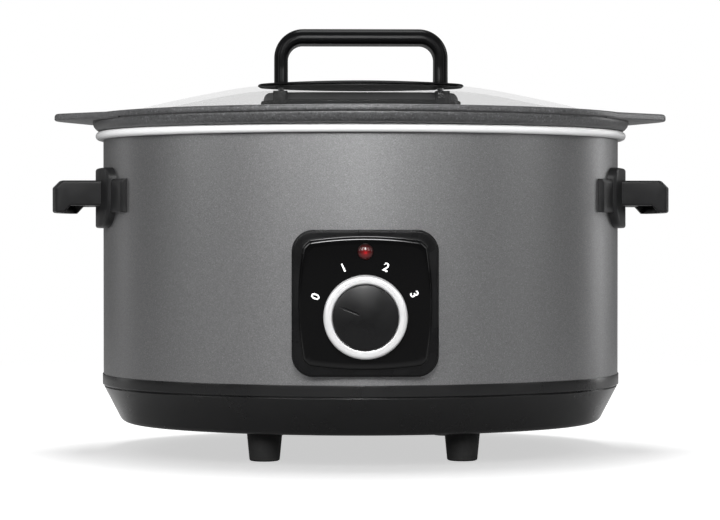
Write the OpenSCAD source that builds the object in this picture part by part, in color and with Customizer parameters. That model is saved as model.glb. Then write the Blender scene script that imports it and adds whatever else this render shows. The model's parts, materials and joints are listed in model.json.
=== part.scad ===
// Oval slow cooker: heating base, lift-out cooking pot, glass lid and rotary heat control.
// Millimetres. Origin: bottom centre, on the surface the feet stand on. +Z up, front is -Y.

/* [Body] */
// Half width of the painted outer wrap
body_a = 167; // [166.5:0.5:167.5]
// Half depth of the painted outer wrap
body_b = 134; // [133.5:0.5:134.5]
// Height of the top edge of the outer wrap
wrap_top = 199.6; // [199.5:0.1:199.7]
// Thickness of the outer wrap sheet
wrap_t = 0.8; // [0.6:0.1:1]
// Radius of the rolled bright bead around the well's mouth
bead_r = 2.6; // [2.5:0.1:2.6]
// Underside of the black base skirt
skirt_z = 18; // [18:0.1:18.2]

/* [Feet] */
// Half spacing of the feet across the width
foot_x = 60.7; // [58:0.1:64]
// Half spacing of the feet front to back
foot_y = 86; // [82:1:88]
// Radius of a foot at the floor
foot_r_low = 9.25; // [8.5:0.05:9.5]
// Radius of a foot at the cover
foot_r_top = 11; // [10.5:0.1:11.5]

/* [Pot] */
// Half width of the pot's rim, without its ear handles
rim_a = 175.5; // [175:0.5:176]
// Half depth of the pot's rim
rim_b = 147; // [146.5:0.5:147.5]
// Half width over the ear handles
ear_tip = 199; // [198:0.5:199.5]
// Nose radius of an ear handle
ear_r = 24; // [22:1:26]
// Tilt of the ear handles, upward to their tips
ear_tilt = 2.2; // [1.8:0.1:2.4]
// Wall thickness of the pot
pot_t = 2.8; // [2.4:0.1:3]
// Underside of the pot's floor
pot_floor_z = 51; // [50.5:0.1:51.5]

/* [Lid] */
// Top of the flat centre of the glass
glass_top = 234.2; // [234.2:0.1:234.3]
// Half width of the lid handle over its legs
arch_half = 56.4; // [56:0.1:57]
// Top of the lid handle
arch_top = 272; // [271.8:0.1:273]
// Front-to-back width of the handle's bar
arch_w = 26; // [24:1:28]
// Crown of the handle plate
plate_top = 238.7; // [238.6:0.1:238.9]

/* [Control] */
// Height of the panel's centre
panel_z = 98; // [97.5:0.1:98.5]
// Side of the square panel
panel_s = 87; // [86:0.5:88]
// Corner radius of the panel
panel_r = 13; // [12:0.5:14]
// Height of the knob's axis
knob_z = 90; // [89.5:0.1:90.5]
// Outside radius of the bright knob ring
ring_r = 24.85; // [24.5:0.05:25]
// Radius of the knob's black cap
cap_r = 19.35; // [19:0.05:19.5]
// Pointer angle at the off position, anticlockwise from +X seen from the front
off_angle = 157.5; // [150:0.5:160]
// Height of the indicator lens
lens_z = 128.5; // [128:0.1:129]
// Radius of the indicator lens
lens_r = 4.7; // [4.5:0.1:4.8]

/* [Side handles] */
// Outermost reach of a grip beyond the wrap
grip_out = 32.5; // [32:0.1:32.8]
// Half length of a grip, front to back
grip_half = 40; // [39:0.5:41]
// Underside of a grip
grip_z = 157; // [156.5:0.1:157.5]
// Top of a grip
grip_top = 173; // [172.5:0.1:173.5]

/* [Hidden] */
$fn = 96;
e = 0.01;
black = "#1c1c1e";
steel = "#c9ccd0";

// A four-arc oval is [end centre x, end radius, side centre y, side radius]. Its arcs meet on a 3-4-5 slope.
function oval(a, b) = let(k = (a - b) / 2) [3 * k, a - 3 * k, 4 * k, a + 2 * k];
BODY = oval(body_a, body_b);
RIM = oval(rim_a, rim_b);
function arc(cx, cy, r, a0, a1, n = 6) = [for (i = [0:n]) [cx + r * cos(a0 + (a1 - a0) * i / n), cy + r * sin(a0 + (a1 - a0) * i / n)]];
// Depth of the oval's side, at offset d, at a distance x from the middle.
function side_y(o, d, x) = sqrt(pow(o[3] + d, 2) - x * x) - o[2];

// The four sectors of an oval: [arc centre, arc radius, sector outline].
function sectors(o) = [
  [[o[0], 0, 0], o[1], [[o[0], 0], [o[0] + 240, -320], [o[0] + 240, 320]]],
  [[-o[0], 0, 0], o[1], [[-o[0], 0], [-o[0] - 240, 320], [-o[0] - 240, -320]]],
  [[0, -o[2], 0], o[3], [[0, -o[2]], [300, 400 - o[2]], [-300, 400 - o[2]]]],
  [[0, o[2], 0], o[3], [[0, o[2]], [-300, o[2] - 400], [300, o[2] - 400]]]];
// A band that follows an oval: the profile is a closed list of [offset from the oval, height].
module oval_ring(o, p) {
  for (q = sectors(o)) intersection() {
    translate(q[0]) rotate_extrude($fn = 180) polygon([for (v = p) [v[0] + q[1], v[1]]]);
    linear_extrude(height = 300) polygon(q[2]);
  }
}
// A solid whose outside follows an oval: the profile runs from its lowest to its highest point.
module oval_solid(o, p) {
  n = len(p);
  for (q = sectors(o)) intersection() {
    translate(q[0]) rotate_extrude($fn = 180) polygon(concat([[0, p[0][1]]], [for (v = p) [v[0] + q[1], v[1]]], [[0, p[n - 1][1]]]));
    linear_extrude(height = 300) polygon(q[2]);
  }
}
module oval_plate(o, d, z0, z1) { oval_solid(o, [[d, z0], [d, z1]]); }
module oval_band(o, d0, d1, z0, z1) { oval_ring(o, [[d0, z0], [d1, z0], [d1, z1], [d0, z1]]); }
// A small oval plate under the lid handle; its side arcs' centres lie outside it.
module pad_plate(d, z0, z1) {
  r = BODY[1] + d;
  x = BODY[0] + 0.6 * r;
  for (s = [-1, 1]) translate([s * BODY[0], 0, z0]) cylinder(r = r, h = z1 - z0);
  intersection() {
    translate([0, BODY[2], z0]) cylinder(r = BODY[3] + d, h = z1 - z0, $fn = 180);
    translate([0, -BODY[2], z0]) cylinder(r = BODY[3] + d, h = z1 - z0, $fn = 180);
    translate([-x, -60, z0]) cube([2 * x, 120, z1 - z0]);
  }
}
// Places a child whose +Z points forward, out of the panel.
module facing(x, z) { translate([x, 0, z]) rotate([90, 0, 0]) children(); }
// Places a child whose +Z points radially outward from an end arc, a degrees from the X axis.
module radial(side, a, z) {
  mirror([side < 0 ? 1 : 0, 0, 0]) translate([BODY[0], 0, z]) rotate([0, 0, a]) translate([BODY[1], 0, 0]) rotate([0, 90, 0]) children();
}
module rounded_square(s, r) {
  square([s - 2 * r, s], center = true);
  square([s, s - 2 * r], center = true);
  for (x = [-1, 1], y = [-1, 1]) translate([x * (s / 2 - r), y * (s / 2 - r)]) circle(r = r);
}
// A wire laid along straight runs that overlap a little at each bend.
module wire(p, r) {
  for (i = [0:len(p) - 2]) let(v = p[i + 1] - p[i], l = norm(v))
    translate(p[i] - v * (0.7 * r / l)) rotate([0, acos(v[2] / l), atan2(v[1], v[0])]) cylinder(r = r, h = l + 1.4 * r, $fn = 8);
}
module at_feet() { for (x = [-foot_x, foot_x], y = [-foot_y, foot_y]) translate([x, y, 0]) children(); }
module at_cover_screws() { for (p = [[-144, 0], [144, 0], [0, -111], [0, 111]]) translate([p[0], p[1], 0]) children(); }
plate_back = side_y(BODY, -wrap_t, 40);
panel_screw_at = [[-34, 62], [34, 62], [-34, 134], [34, 134]];

module outer_wrap() color("#6f7174") difference() {
  oval_band(BODY, -wrap_t, 0, 43, wrap_top);
  // Window behind the control panel, for its bosses, the switch and the lamp
  translate([-38.5, -150, panel_z - 40.5]) cube([77, 40, 81]);
  // Eight-sided punched holes for the cord gland and the handle screws
  translate([0, 120, 66]) rotate([-90, 22.5, 0]) cylinder(r = 7, h = 30, $fn = 8);
  for (s = [-1, 1], a = [-11, 11]) radial(s, a, 164) translate([0, 0, -6]) rotate([0, 0, 22.5]) cylinder(r = 2.5, h = 8, $fn = 8);
}

module heating_well() color("#dcdee0") {
  oval_ring(BODY, concat([[-24, 200.6], [-24, 58]], arc(-33, 58, 9, 0, -90), [[-50, 49], [-50, 48]],
    arc(-33, 58, 10, -90, 0), [[-23, 199.6]], arc(2.4, 202, bead_r, -112.6, 212.6, 26)));
  oval_plate(BODY, -45, 48, 49);
}

module base_skirt() color(black) difference() {
  union() {
    oval_ring(BODY, concat([[0.6, 49.2], [0, 49.2], [0, 43], [-3.4, 43], [-3.4, 41], [-14.6, 24], [-16.4, 23], [-28, 23], [-28, 20.5], [-18, 20.5], [-18, skirt_z]],
      arc(-16, skirt_z + 6, 6, -90, -31), [[-0.4, 41.3], [0.6, 42.1]]));
  }
  at_cover_screws() translate([0, 0, 10]) cylinder(r = 1.6, h = 20);
}

module bottom_cover() color(black) difference() {
  oval_plate(BODY, -18, skirt_z, 20.5);
  at_feet() translate([0, 0, 10]) cylinder(r = 2.2, h = 20);
  at_cover_screws() { translate([0, 0, 10]) cylinder(r = 1.9, h = 20); translate([0, 0, 17]) cylinder(r = 3.6, h = 2.2); }
  for (s = [-1, 1], i = [-2:2]) translate([s * 105 - 14, i * 9 - 1.5, 17]) cube([28, 3, 5]);
}

module feet() color("#151516") at_feet() difference() {
  rotate_extrude() polygon([[0, 0], [foot_r_low - 1, 0], [foot_r_low - 0.3, 0.3], [foot_r_low, 1], [foot_r_top, skirt_z], [0, skirt_z]]);
  translate([0, 0, -1]) cylinder(r = 2.2, h = 30);
  translate([0, 0, -1]) cylinder(r = 4.4, h = 8);
}
module foot_screws() color(steel) at_feet() {
  translate([0, 0, 4.6]) cylinder(r = 4, h = 2.4);
  translate([0, 0, 6]) cylinder(r = 2, h = 18.5);
}
module foot_nuts() color(steel) at_feet() difference() {
  translate([0, 0, 20.5]) cylinder(r = 4.04, h = 3.2, $fn = 6);
  translate([0, 0, 15]) cylinder(r = 2, h = 12);
}
module cover_screws() color(steel) at_cover_screws() {
  translate([0, 0, skirt_z]) cylinder(r = 3.4, h = 1.2);
  translate([0, 0, 19]) cylinder(r = 1.6, h = 9);
}

module base_strap() color(steel) difference() {
  rotate([90, 0, 0]) translate([0, 0, -11]) linear_extrude(height = 22)
    polygon([[-149, 23], [-128, 23], [-112, 30.5], [112, 30.5], [128, 23], [149, 23], [149, 24.5], [128.4, 24.5], [112.4, 32], [-112.4, 32], [-128.4, 24.5], [-149, 24.5]]);
  for (x = [-144, 144]) translate([x, 0, 10]) cylinder(r = 1.6, h = 20);
  translate([0, 0, 20]) cylinder(r = 3.2, h = 20);
}
module centre_stud() color(steel) translate([0, 0, 24]) cylinder(r = 3, h = 24);
module centre_nut() color(steel) difference() {
  translate([0, 0, 25.5]) cylinder(r = 5.77, h = 5, $fn = 6);
  translate([0, 0, 20]) cylinder(r = 3, h = 20);
}
module spacer_sleeves() color(steel) difference() {
  union() { translate([0, 0, 32]) cylinder(r = 5.5, h = 6); translate([0, 0, 38.8]) cylinder(r = 5.5, h = 9.2); }
  translate([0, 0, 20]) cylinder(r = 3.1, h = 40);
}
module heat_reflector() color("#d8dadc") difference() {
  union() {
    oval_plate(BODY, -42, 38, 38.8);
    oval_ring(BODY, [[-42.6, 38.2], [-41.8, 38.2], [-36.4, 44], [-37.2, 44]]);
  }
  translate([0, 0, 30]) cylinder(r = 3.2, h = 20);
  // Clearance for the wire to the thermal fuse
  translate([54, 31, 30]) cylinder(r = 2.6, h = 20);
}

module heater_band() color("#b9a98c") oval_band(BODY, -23, -21.6, 78, 142);
module heater_straps() color(steel) for (z = [84, 126]) {
  oval_band(BODY, -21.6, -21, z, z + 10);
  translate([-7, side_y(BODY, -21.2, 7), z + 1]) cube([14, 5, 8]);
}
module thermal_fuse() color("#d6b25e") {
  translate([66, 30, 45.8]) rotate([0, 90, 0]) cylinder(r = 2.2, h = 12);
  translate([56, 30, 45.8]) rotate([0, 90, 0]) cylinder(r = 0.5, h = 32);
}
module fuse_clip() color(steel) translate([69, 30, 0]) rotate([90, 0, 90]) linear_extrude(height = 6)
  polygon([[-9, 48], [-9, 47.2], [-3, 47.2], [-3, 42.8], [3, 42.8], [3, 47.2], [9, 47.2], [9, 48], [2.3, 48], [2.3, 43.5], [-2.3, 43.5], [-2.3, 48]]);

module control_panel() color(black) difference() {
  union() {
    facing(0, panel_z) {
      translate([0, 0, 120]) linear_extrude(height = 18.2) rounded_square(panel_s, panel_r);
      translate([0, 0, 120]) linear_extrude(height = 19) rounded_square(panel_s - 1.6, panel_r - 0.8);
      // The raised field: four long bowed sides
      intersection() {
        translate([0, 0, 130]) linear_extrude(height = 11.5) rounded_square(78, 14);
        translate([0, -180, 130]) cylinder(r = 219, h = 11.5, $fn = 360);
        translate([0, 180, 130]) cylinder(r = 219, h = 11.5, $fn = 360);
        translate([-180, 0, 130]) cylinder(r = 219, h = 11.5, $fn = 360);
        translate([180, 0, 130]) cylinder(r = 219, h = 11.5, $fn = 360);
      }
    }
  }
  difference() {
    translate([0, BODY[2], 40]) cylinder(r = BODY[3], h = 120, $fn = 360);
    for (p = panel_screw_at) facing(p[0], p[1]) translate([0, 0, plate_back]) cylinder(r = 3.6, h = 20);
  }
  facing(0, knob_z) cylinder(r = 4.8, h = 160);
  facing(0, lens_z) cylinder(r = 3.6, h = 160);
  for (p = panel_screw_at) facing(p[0], p[1]) cylinder(r = 1.5, h = 136);
}
module switch_plate() color(steel) difference() {
  facing(0, panel_z) translate([-40, -41, plate_back - 1.2]) cube([80, 82, 1.2]);
  facing(0, knob_z) cylinder(r = 4.8, h = 160);
  facing(0, lens_z) cylinder(r = 3.6, h = 160);
  for (p = panel_screw_at) facing(p[0], p[1]) cylinder(r = 1.7, h = 160);
}
module panel_screws() color(steel) for (p = panel_screw_at) facing(p[0], p[1]) {
  translate([0, 0, plate_back - 3.2]) cylinder(r = 3, h = 2);
  translate([0, 0, plate_back - 2]) cylinder(r = 1.5, h = 8.5);
}
module rotary_switch() color("#3b3b3d") facing(0, knob_z) difference() {
  union() {
    translate([-16, -16, 115.2]) cube([32, 32, plate_back - 1.2 - 115.2]);
    translate([0, 0, 120]) cylinder(r = 4.6, h = 24.4);
    for (x = [-9, 9], y = [-23, 15]) translate([x - 3.15, y, 119]) cube([6.3, 8, 0.8]);
  }
  translate([0, 0, 118.5]) cylinder(r = 3.1, h = 40);
  translate([0, 0, 119.5]) cylinder(r = 8.6, h = 6);
}
module switch_nut() color(steel) facing(0, knob_z) difference() {
  translate([0, 0, 141.5]) cylinder(r = 8.08, h = 2.5, $fn = 6);
  translate([0, 0, 130]) cylinder(r = 4.6, h = 20);
}
module indicator_lens() color("#b01018") facing(0, lens_z) {
  rotate_extrude() polygon(concat([[0, 131], [3.6, 131], [3.6, 141.5], [lens_r, 141.5], [lens_r, 142]],
    [for (t = [10:10:90]) [lens_r * cos(t), 142 + 2.6 * sin(t)]]));
}
module neon_lamp() color("#e8a070") facing(0, lens_z) {
  translate([0, 0, 119]) cylinder(r = 3, h = 12);
  for (x = [-1.5, 1.5]) translate([x, 0, 114.5]) cylinder(r = 0.4, h = 5);
}

// Half section of a grip, as [offset from the wrap, height].
grip = [[0, grip_z], [23, grip_z], [27, 152.5], [grip_out, 152.5], [grip_out, grip_top - 4.5], [grip_out - 4.5, grip_top], [0, grip_top]];
module end_ring(p) { translate([BODY[0], 0, 0]) rotate_extrude($fn = 180) polygon([for (v = p) [v[0] + BODY[1], v[1]]]); }
// Outline of the shield plate behind a grip: broad shoulders and a rounder foot.
shield = concat(arc(45, 173, 8, 0, 90), arc(-45, 173, 8, 90, 180), arc(-37, 158.8, 16, 180, 270, 10), arc(37, 158.8, 16, 270, 360, 10));
module side_handle() difference() {
  union() {
    intersection() {
      end_ring([[0, 152.5], [3, 152.5], [3, 171.5], [2, 173.5], [0, 173.5]]);
      translate([100, -66, 140]) cube([120, 132, 50]);
    }
    intersection() {
      end_ring([[0, 142], [3.6, 142], [5, 144.2], [5, 179.7], [3.6, 182], [0, 182]]);
      translate([120, 0, 0]) rotate([90, 0, 90]) linear_extrude(height = 100) polygon(shield);
    }
    intersection() {
      end_ring(grip);
      translate([120, -grip_half, 140]) cube([100, 2 * grip_half, 50]);
    }
  }
  intersection() {
    end_ring([[13, 150], [25.6, 150], [28.6, 157], [28.6, 165], [26, 169.6], [13, 169.6]]);
    translate([120, -36.5, 140]) cube([100, 73, 50]);
  }
  for (a = [-11, 11]) translate([BODY[0], 0, 164]) rotate([0, 0, a]) translate([BODY[1] - 1, 0, 0]) rotate([0, 90, 0]) cylinder(r = 2, h = 11);
}
module right_handle() color(black) side_handle();
module left_handle() color(black) mirror([1, 0, 0]) side_handle();
module handle_backings() color(steel) for (s = [0, 1]) mirror([s, 0, 0]) difference() {
  intersection() {
    end_ring([[-2, 154], [-wrap_t, 154], [-wrap_t, 174], [-2, 174]]);
    translate([120, -34, 140]) cube([100, 68, 50]);
  }
  for (a = [-11, 11]) radial(1, a, 164) translate([0, 0, -6]) cylinder(r = 2.3, h = 8);
}
module handle_screws() color(steel) for (s = [-1, 1], a = [-11, 11]) radial(s, a, 164) {
  translate([0, 0, -4.65]) cylinder(r = 3.8, h = 2.5);
  translate([0, 0, -3]) cylinder(r = 2, h = 13);
}

module terminal_block() color("#e7e2d2") difference() {
  translate([-22, 74, 20.5]) cube([44, 18, 15]);
  for (x = [-14, 0, 14]) translate([x, 83, 28]) { cylinder(r = 2.2, h = 10); rotate([90, 0, 0]) translate([0, 0, -12]) cylinder(r = 1.6, h = 24); }
}
module cord_gland() color(black) translate([0, 0, 66]) rotate([-90, 0, 0]) difference() {
  union() {
    translate([0, 0, 129]) cylinder(r = 6.4, h = 8);
    difference() { translate([0, 0, 130]) cylinder(r = 9, h = 9); translate([0, 0, -BODY[2]]) rotate([-90, 0, 0]) cylinder(r = BODY[3], h = 60, $fn = 360, center = true); }
    translate([0, 0, 129]) cylinder(r = 8, h = 2.4);
    translate([0, 0, 139]) cylinder(r1 = 9, r2 = 6.6, h = 5);
  }
  translate([0, 0, 120]) cylinder(r = 3.6, h = 30);
}
module live_wire() color("#7a4a2a") wire([[-14, 74, 28], [-18, 56, 26], [-60, 20, 27], [-58, -66, 26], [-15, -118, 36], [-9, -119.4, 66]], 1.2);
module neutral_wire() color("#3a66b0") wire([[0, 74, 28], [2, 56, 26], [40, 46, 26], [53, 32, 32], [55, 30, 45.8]], 1.2);
module earth_wire() color("#6fae3c") wire([[14, 74, 28], [15, 64, 30.5], [30, 10, 33.2]], 1.2);

module switch_shaft() color(steel) facing(0, knob_z) {
  translate([0, 0, 119]) cylinder(r = 3, h = 23);
  translate([0, 0, 120]) cylinder(r = 8.2, h = 5);
  difference() { translate([0, 0, 142]) cylinder(r = 3, h = 6); translate([1.6, -4, 144.6]) cube([4, 8, 10]); }
}
module knob_cap() color("#232325") facing(0, knob_z) difference() {
  union() {
    rotate_extrude() polygon(concat([[0, 142.4], [cap_r, 142.4], [cap_r, 148.6], [cap_r - 0.9, 149.5]],
      [for (r = [cap_r - 4:-3.6:0]) [r, 151.2 - 1.7 * pow(r / (cap_r - 0.9), 2)]], [[0, 151.2]]));
  }
  translate([0, 0, 140]) cylinder(r = 9.4, h = 4.9);
  difference() { translate([0, 0, 140]) cylinder(r = 3, h = 8); translate([1.6, -4, 144.9]) cube([4, 8, 10]); }
  rotate([0, 0, off_angle]) translate([4.2, -0.85, 149.9]) cube([13.3, 1.7, 5]);
}
module knob_ring() color("#e6e8ea") facing(0, knob_z) rotate_extrude()
  polygon(concat([[cap_r, 142.2], [ring_r - 0.5, 142.2], [ring_r, 142.8]], arc(ring_r - 2.4, 145, 2.4, 0, 90), arc(cap_r + 1.2, 146.2, 1.2, 90, 180)));

// The pot's rim, from the shelf that rests on the bead up to the flat top.
rim_profile = [[-16, 204.65], [-7, 204.65], [-5, 205.3], [-2.6, 206.8], [-1, 208.8], [-0.3, 210.6], [0, 212], [0, 213.6], [-0.6, 214.9], [-1.8, 215.4], [-16, 215.4]];
nose_x = ear_tip - ear_r;
nose_a = acos((RIM[1] - ear_r) / (nose_x - RIM[0]));
nose_c = cos(nose_a);
nose_s = sin(nose_a);
// One ear handle, tilted up to its tip; it is rooted inside the rim.
module ear() translate([160, 0, 215.4]) rotate([0, -ear_tilt, 0]) translate([-160, 0, -4.6]) {
  linear_extrude(height = 4.6) polygon([[160, -48], [RIM[0] + (RIM[1] - 1) * nose_c, -(RIM[1] - 1) * nose_s], [nose_x + ear_r * nose_c, -ear_r * nose_s], [nose_x, 0],
    [nose_x + ear_r * nose_c, ear_r * nose_s], [RIM[0] + (RIM[1] - 1) * nose_c, (RIM[1] - 1) * nose_s], [160, 48]]);
  difference() {
    translate([nose_x, 0, 0]) cylinder(r = ear_r, h = 4.6);
    translate([120, -40, -5]) cube([40.5, 80, 20]);
  }
}
module cooking_pot() color("#47494b") {
  oval_plate(BODY, -42, pot_floor_z, pot_floor_z + pot_t);
  oval_ring(BODY, concat([[-27, 204.65], [-31.5, 63]], arc(-43.5, 63, 12, 0, -90), [[-50, pot_floor_z], [-50, pot_floor_z + pot_t]],
    arc(-43.5, 63, 12 - pot_t, -90, 0), [[-27 - pot_t, 205], [-16, 211.4], [-7.6, 211.4], [-7.6, 215.4], [-2, 215.4], [-2, 204.65]]));
  oval_ring(RIM, rim_profile);
  ear();
  mirror([1, 0, 0]) ear();
}

// Glass profile, as [offset from the wrap's oval, height] on its upper face.
glass_up = [[-9, 215.2], [-12.2, 215.9], [-22, 219], [-33, 222], [-45, 224.8], [-57, 227.4], [-68, 229.8], [-78, 231.8], [-86, 233.2], [-93, glass_top]];
glass_down = [[-9, 212], [-12.6, 212], [-22, 215.3], [-33, 218.4], [-45, 221.3], [-57, 223.9], [-68, 226.3], [-78, 228.3], [-86, 229.7], [-93, glass_top - 3.5]];
module lid_glass() color([0.82, 0.85, 0.86, 0.6]) difference() {
  union() {
    oval_ring(BODY, concat(glass_up, [for (i = [len(glass_down) - 1:-1:0]) glass_down[i]]));
    pad_plate(-92.9, glass_top - 3.5, glass_top);
  }
  for (x = [-52, 52]) translate([x, 0, 200]) cylinder(r = 3, h = 50);
}
module lid_rim_band() color("#d5d7d9") oval_ring(BODY, [[-8.2, 211.4], [-8.2, 215.4], [-8.8, 216], [-12.2, 216.7], [-12.2, 215.9], [-9, 215.2], [-9, 212], [-12.2, 212], [-12.2, 211.4]]);
module handle_gasket() color("#2a2a2a") difference() {
  pad_plate(-101, glass_top, glass_top + 0.7);
  for (x = [-52, 52]) translate([x, 0, 200]) cylinder(r = 2.2, h = 50);
}
// Underside of the handle's feet, sunk in the plate.
leg_z = glass_top + 1.6;
module leg_feet(z) { for (s = [-1, 1]) translate([s * 52 - 4.6, -14, z]) cube([9.2, 28, 20]); }
module lid_handle_plate() color("#2b2b2d") difference() {
  intersection() {
    pad_plate(-100, glass_top + 0.7, 245);
    translate([0, 0, plate_top - 230]) rotate([0, 90, 0]) rotate_extrude($fn = 480)
      polygon(concat([[0, -68]], [for (x = [-68, -64, -58, -50, -40, -30, -20, -10, 0, 10, 20, 30, 40, 50, 58, 64, 68]) [230 - x * x / 1900, x]], [[0, 68]]));
  }
  leg_feet(leg_z);
  for (x = [-52, 52]) translate([x, 0, 200]) cylinder(r = 2.2, h = 50);
}
module lid_handle() color(black) difference() {
  intersection() {
    rotate([90, 0, 0]) translate([0, 0, -20]) linear_extrude(height = 40) difference() {
      union() {
        translate([-arch_half, leg_z]) square([2 * arch_half, arch_top - leg_z - 19]);
        translate([-arch_half + 19, 240]) square([2 * arch_half - 38, arch_top - 240]);
        for (s = [-1, 1]) translate([s * (arch_half - 19), arch_top - 19]) circle(r = 19);
      }
      translate([-arch_half + 8.8, 220]) square([2 * arch_half - 17.6, arch_top - 220 - 21]);
      translate([-arch_half + 19.8, 240]) square([2 * arch_half - 39.6, arch_top - 10 - 240]);
      for (s = [-1, 1]) translate([s * (arch_half - 19.8), arch_top - 21]) circle(r = 11);
    }
    union() {
      translate([-70, -arch_w / 2, 233]) cube([140, arch_w, 60]);
      rotate([90, 0, 90]) translate([0, 0, -70]) linear_extrude(height = 140)
        polygon([[-14, leg_z], [14, leg_z], [14, 238], [arch_w / 2, 246], [-arch_w / 2, 246], [-14, 238]]);
    }
  }
  for (x = [-52, 52]) translate([x, 0, 220]) cylinder(r = 2, h = 32);
}
module handle_retainer() color("#202022") difference() {
  intersection() {
    pad_plate(-102, 222, glass_top - 3.5);
    union() {
      rotate([90, 0, 90]) translate([0, 0, -70]) linear_extrude(height = 140)
        polygon([[-40, 222], [40, 222], [40, 225.2], [31, 225.2], [13, glass_top - 3.5], [-13, glass_top - 3.5], [-31, 225.2], [-40, 225.2]]);
      for (s = [-1, 1]) translate([s * 52 - 4.6, -28, 222]) cube([9.2, 56, glass_top - 225.5]);
    }
  }
  for (x = [-52, 52]) translate([x, 0, 200]) { cylinder(r = 2.2, h = 50); cylinder(r = 5, h = 24.6); }
}
module lid_washers() color(steel) for (x = [-52, 52]) translate([x, 0, 0]) difference() {
  translate([0, 0, 223.8]) cylinder(r = 4.8, h = 0.8);
  translate([0, 0, 200]) cylinder(r = 2.1, h = 50);
}
module lid_screws() color(steel) for (x = [-52, 52]) translate([x, 0, 0]) {
  translate([0, 0, 222]) cylinder(r = 3.8, h = 1.8);
  translate([0, 0, 223]) cylinder(r = 2, h = 27);
}

outer_wrap();
heating_well();
base_skirt();
bottom_cover();
feet();
foot_screws();
foot_nuts();
cover_screws();
base_strap();
centre_stud();
centre_nut();
spacer_sleeves();
heat_reflector();
heater_band();
heater_straps();
thermal_fuse();
fuse_clip();
control_panel();
switch_plate();
panel_screws();
rotary_switch();
switch_nut();
indicator_lens();
neon_lamp();
left_handle();
right_handle();
handle_backings();
handle_screws();
terminal_block();
cord_gland();
live_wire();
neutral_wire();
earth_wire();
switch_shaft();
knob_cap();
knob_ring();
cooking_pot();
lid_glass();
lid_rim_band();
handle_gasket();
lid_handle_plate();
lid_handle();
handle_retainer();
lid_washers();
lid_screws();
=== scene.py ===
import json
import math

import bmesh
import bpy
import numpy as np
from mathutils import Matrix, Vector

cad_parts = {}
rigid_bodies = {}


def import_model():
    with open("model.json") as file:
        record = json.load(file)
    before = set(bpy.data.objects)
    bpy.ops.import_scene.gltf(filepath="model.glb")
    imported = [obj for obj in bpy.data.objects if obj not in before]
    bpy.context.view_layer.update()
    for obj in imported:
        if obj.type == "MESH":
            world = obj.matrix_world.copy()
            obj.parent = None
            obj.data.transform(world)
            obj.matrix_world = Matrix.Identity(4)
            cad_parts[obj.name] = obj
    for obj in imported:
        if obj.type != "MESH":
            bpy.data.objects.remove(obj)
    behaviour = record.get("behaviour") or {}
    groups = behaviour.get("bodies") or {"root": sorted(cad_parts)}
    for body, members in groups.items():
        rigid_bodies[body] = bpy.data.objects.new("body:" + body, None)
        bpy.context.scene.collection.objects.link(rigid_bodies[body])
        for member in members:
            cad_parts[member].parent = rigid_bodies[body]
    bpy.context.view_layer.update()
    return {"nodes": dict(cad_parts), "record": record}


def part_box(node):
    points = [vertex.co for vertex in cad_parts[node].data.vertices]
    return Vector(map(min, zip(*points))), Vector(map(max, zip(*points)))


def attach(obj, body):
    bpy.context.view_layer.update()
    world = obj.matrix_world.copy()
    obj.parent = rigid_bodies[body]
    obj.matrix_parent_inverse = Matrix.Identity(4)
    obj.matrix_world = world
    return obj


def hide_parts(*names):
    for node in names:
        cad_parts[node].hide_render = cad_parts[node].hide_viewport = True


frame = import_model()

NODES = frame["nodes"]
SLOT = {s["node"]: s["material_slot"] for s in frame["record"]["subparts"]}
BODY_OF = {}
for body, part in frame["record"]["behaviour"]["bodies"].items() if isinstance(frame["record"]["behaviour"]["bodies"], dict) else []:
    for n in part.get("nodes", []) if isinstance(part, dict) else part:
        BODY_OF[n] = body


def mm(node):
    lo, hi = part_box(node)
    return [v * 1000 for v in lo], [v * 1000 for v in hi]


# ---------------------------------------------------------------- outlines
N_AROUND = 384


class Oval:
    """A rounded oval of half sizes a and b, in mm, whose curvature changes smoothly. Points are found by the direction of their normal."""

    def __init__(self, a, b, half=13.0):
        k = (a - b) / 2
        phi = np.linspace(0, 90, 9001)
        t = np.clip((phi - (53.1301 - half)) / (2 * half), 0, 1)
        w = t * t * (3 - 2 * t)
        c, s = np.cos(np.radians(phi)), np.sin(np.radians(phi))
        h = np.radians(phi[1] - phi[0])

        def total(f):
            return float(((f[1:] + f[:-1]) / 2).sum() * h)

        m = np.array([[total((1 - w) * s), total(w * s)], [total((1 - w) * c), total(w * c)]])
        re, rs = np.linalg.solve(m, np.array([a, b]))
        rho = re * (1 - w) + rs * w
        seg = lambda f: np.concatenate([[0], np.cumsum((f[1:] + f[:-1]) / 2 * h)])
        self.phi = phi
        self.y = seg(rho * c)
        self.x = a - seg(rho * s)
        self.s = seg(rho)
        self.a, self.b = a, b

    def quarter(self, phi):
        return np.interp(phi, self.phi, self.x), np.interp(phi, self.phi, self.y)

    def at(self, theta, d=0.0):
        """Points for normal directions theta in degrees, moved out by d."""
        th = np.asarray(theta, float) % 360
        q = np.where(th > 180, 360 - th, th)
        fold = np.where(q > 90, 180 - q, q)
        x, y = self.quarter(fold)
        x = np.where(q > 90, -x, x)
        y = np.where(th > 180, -y, y)
        return np.stack([x + d * np.cos(np.radians(th)), y + d * np.sin(np.radians(th))], -1)


_, _hi = mm("outer_wrap")
BODY = Oval(_hi[0], _hi[1])
RIM = Oval(175.5, 147.0)
_q = np.interp(np.linspace(0, BODY.s[-1], N_AROUND // 4 + 1), BODY.s, BODY.phi)
THETA = np.concatenate([_q[:-1], 180 - _q[::-1][:-1], 180 + _q[:-1], 360 - _q[::-1][:-1]])


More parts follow.
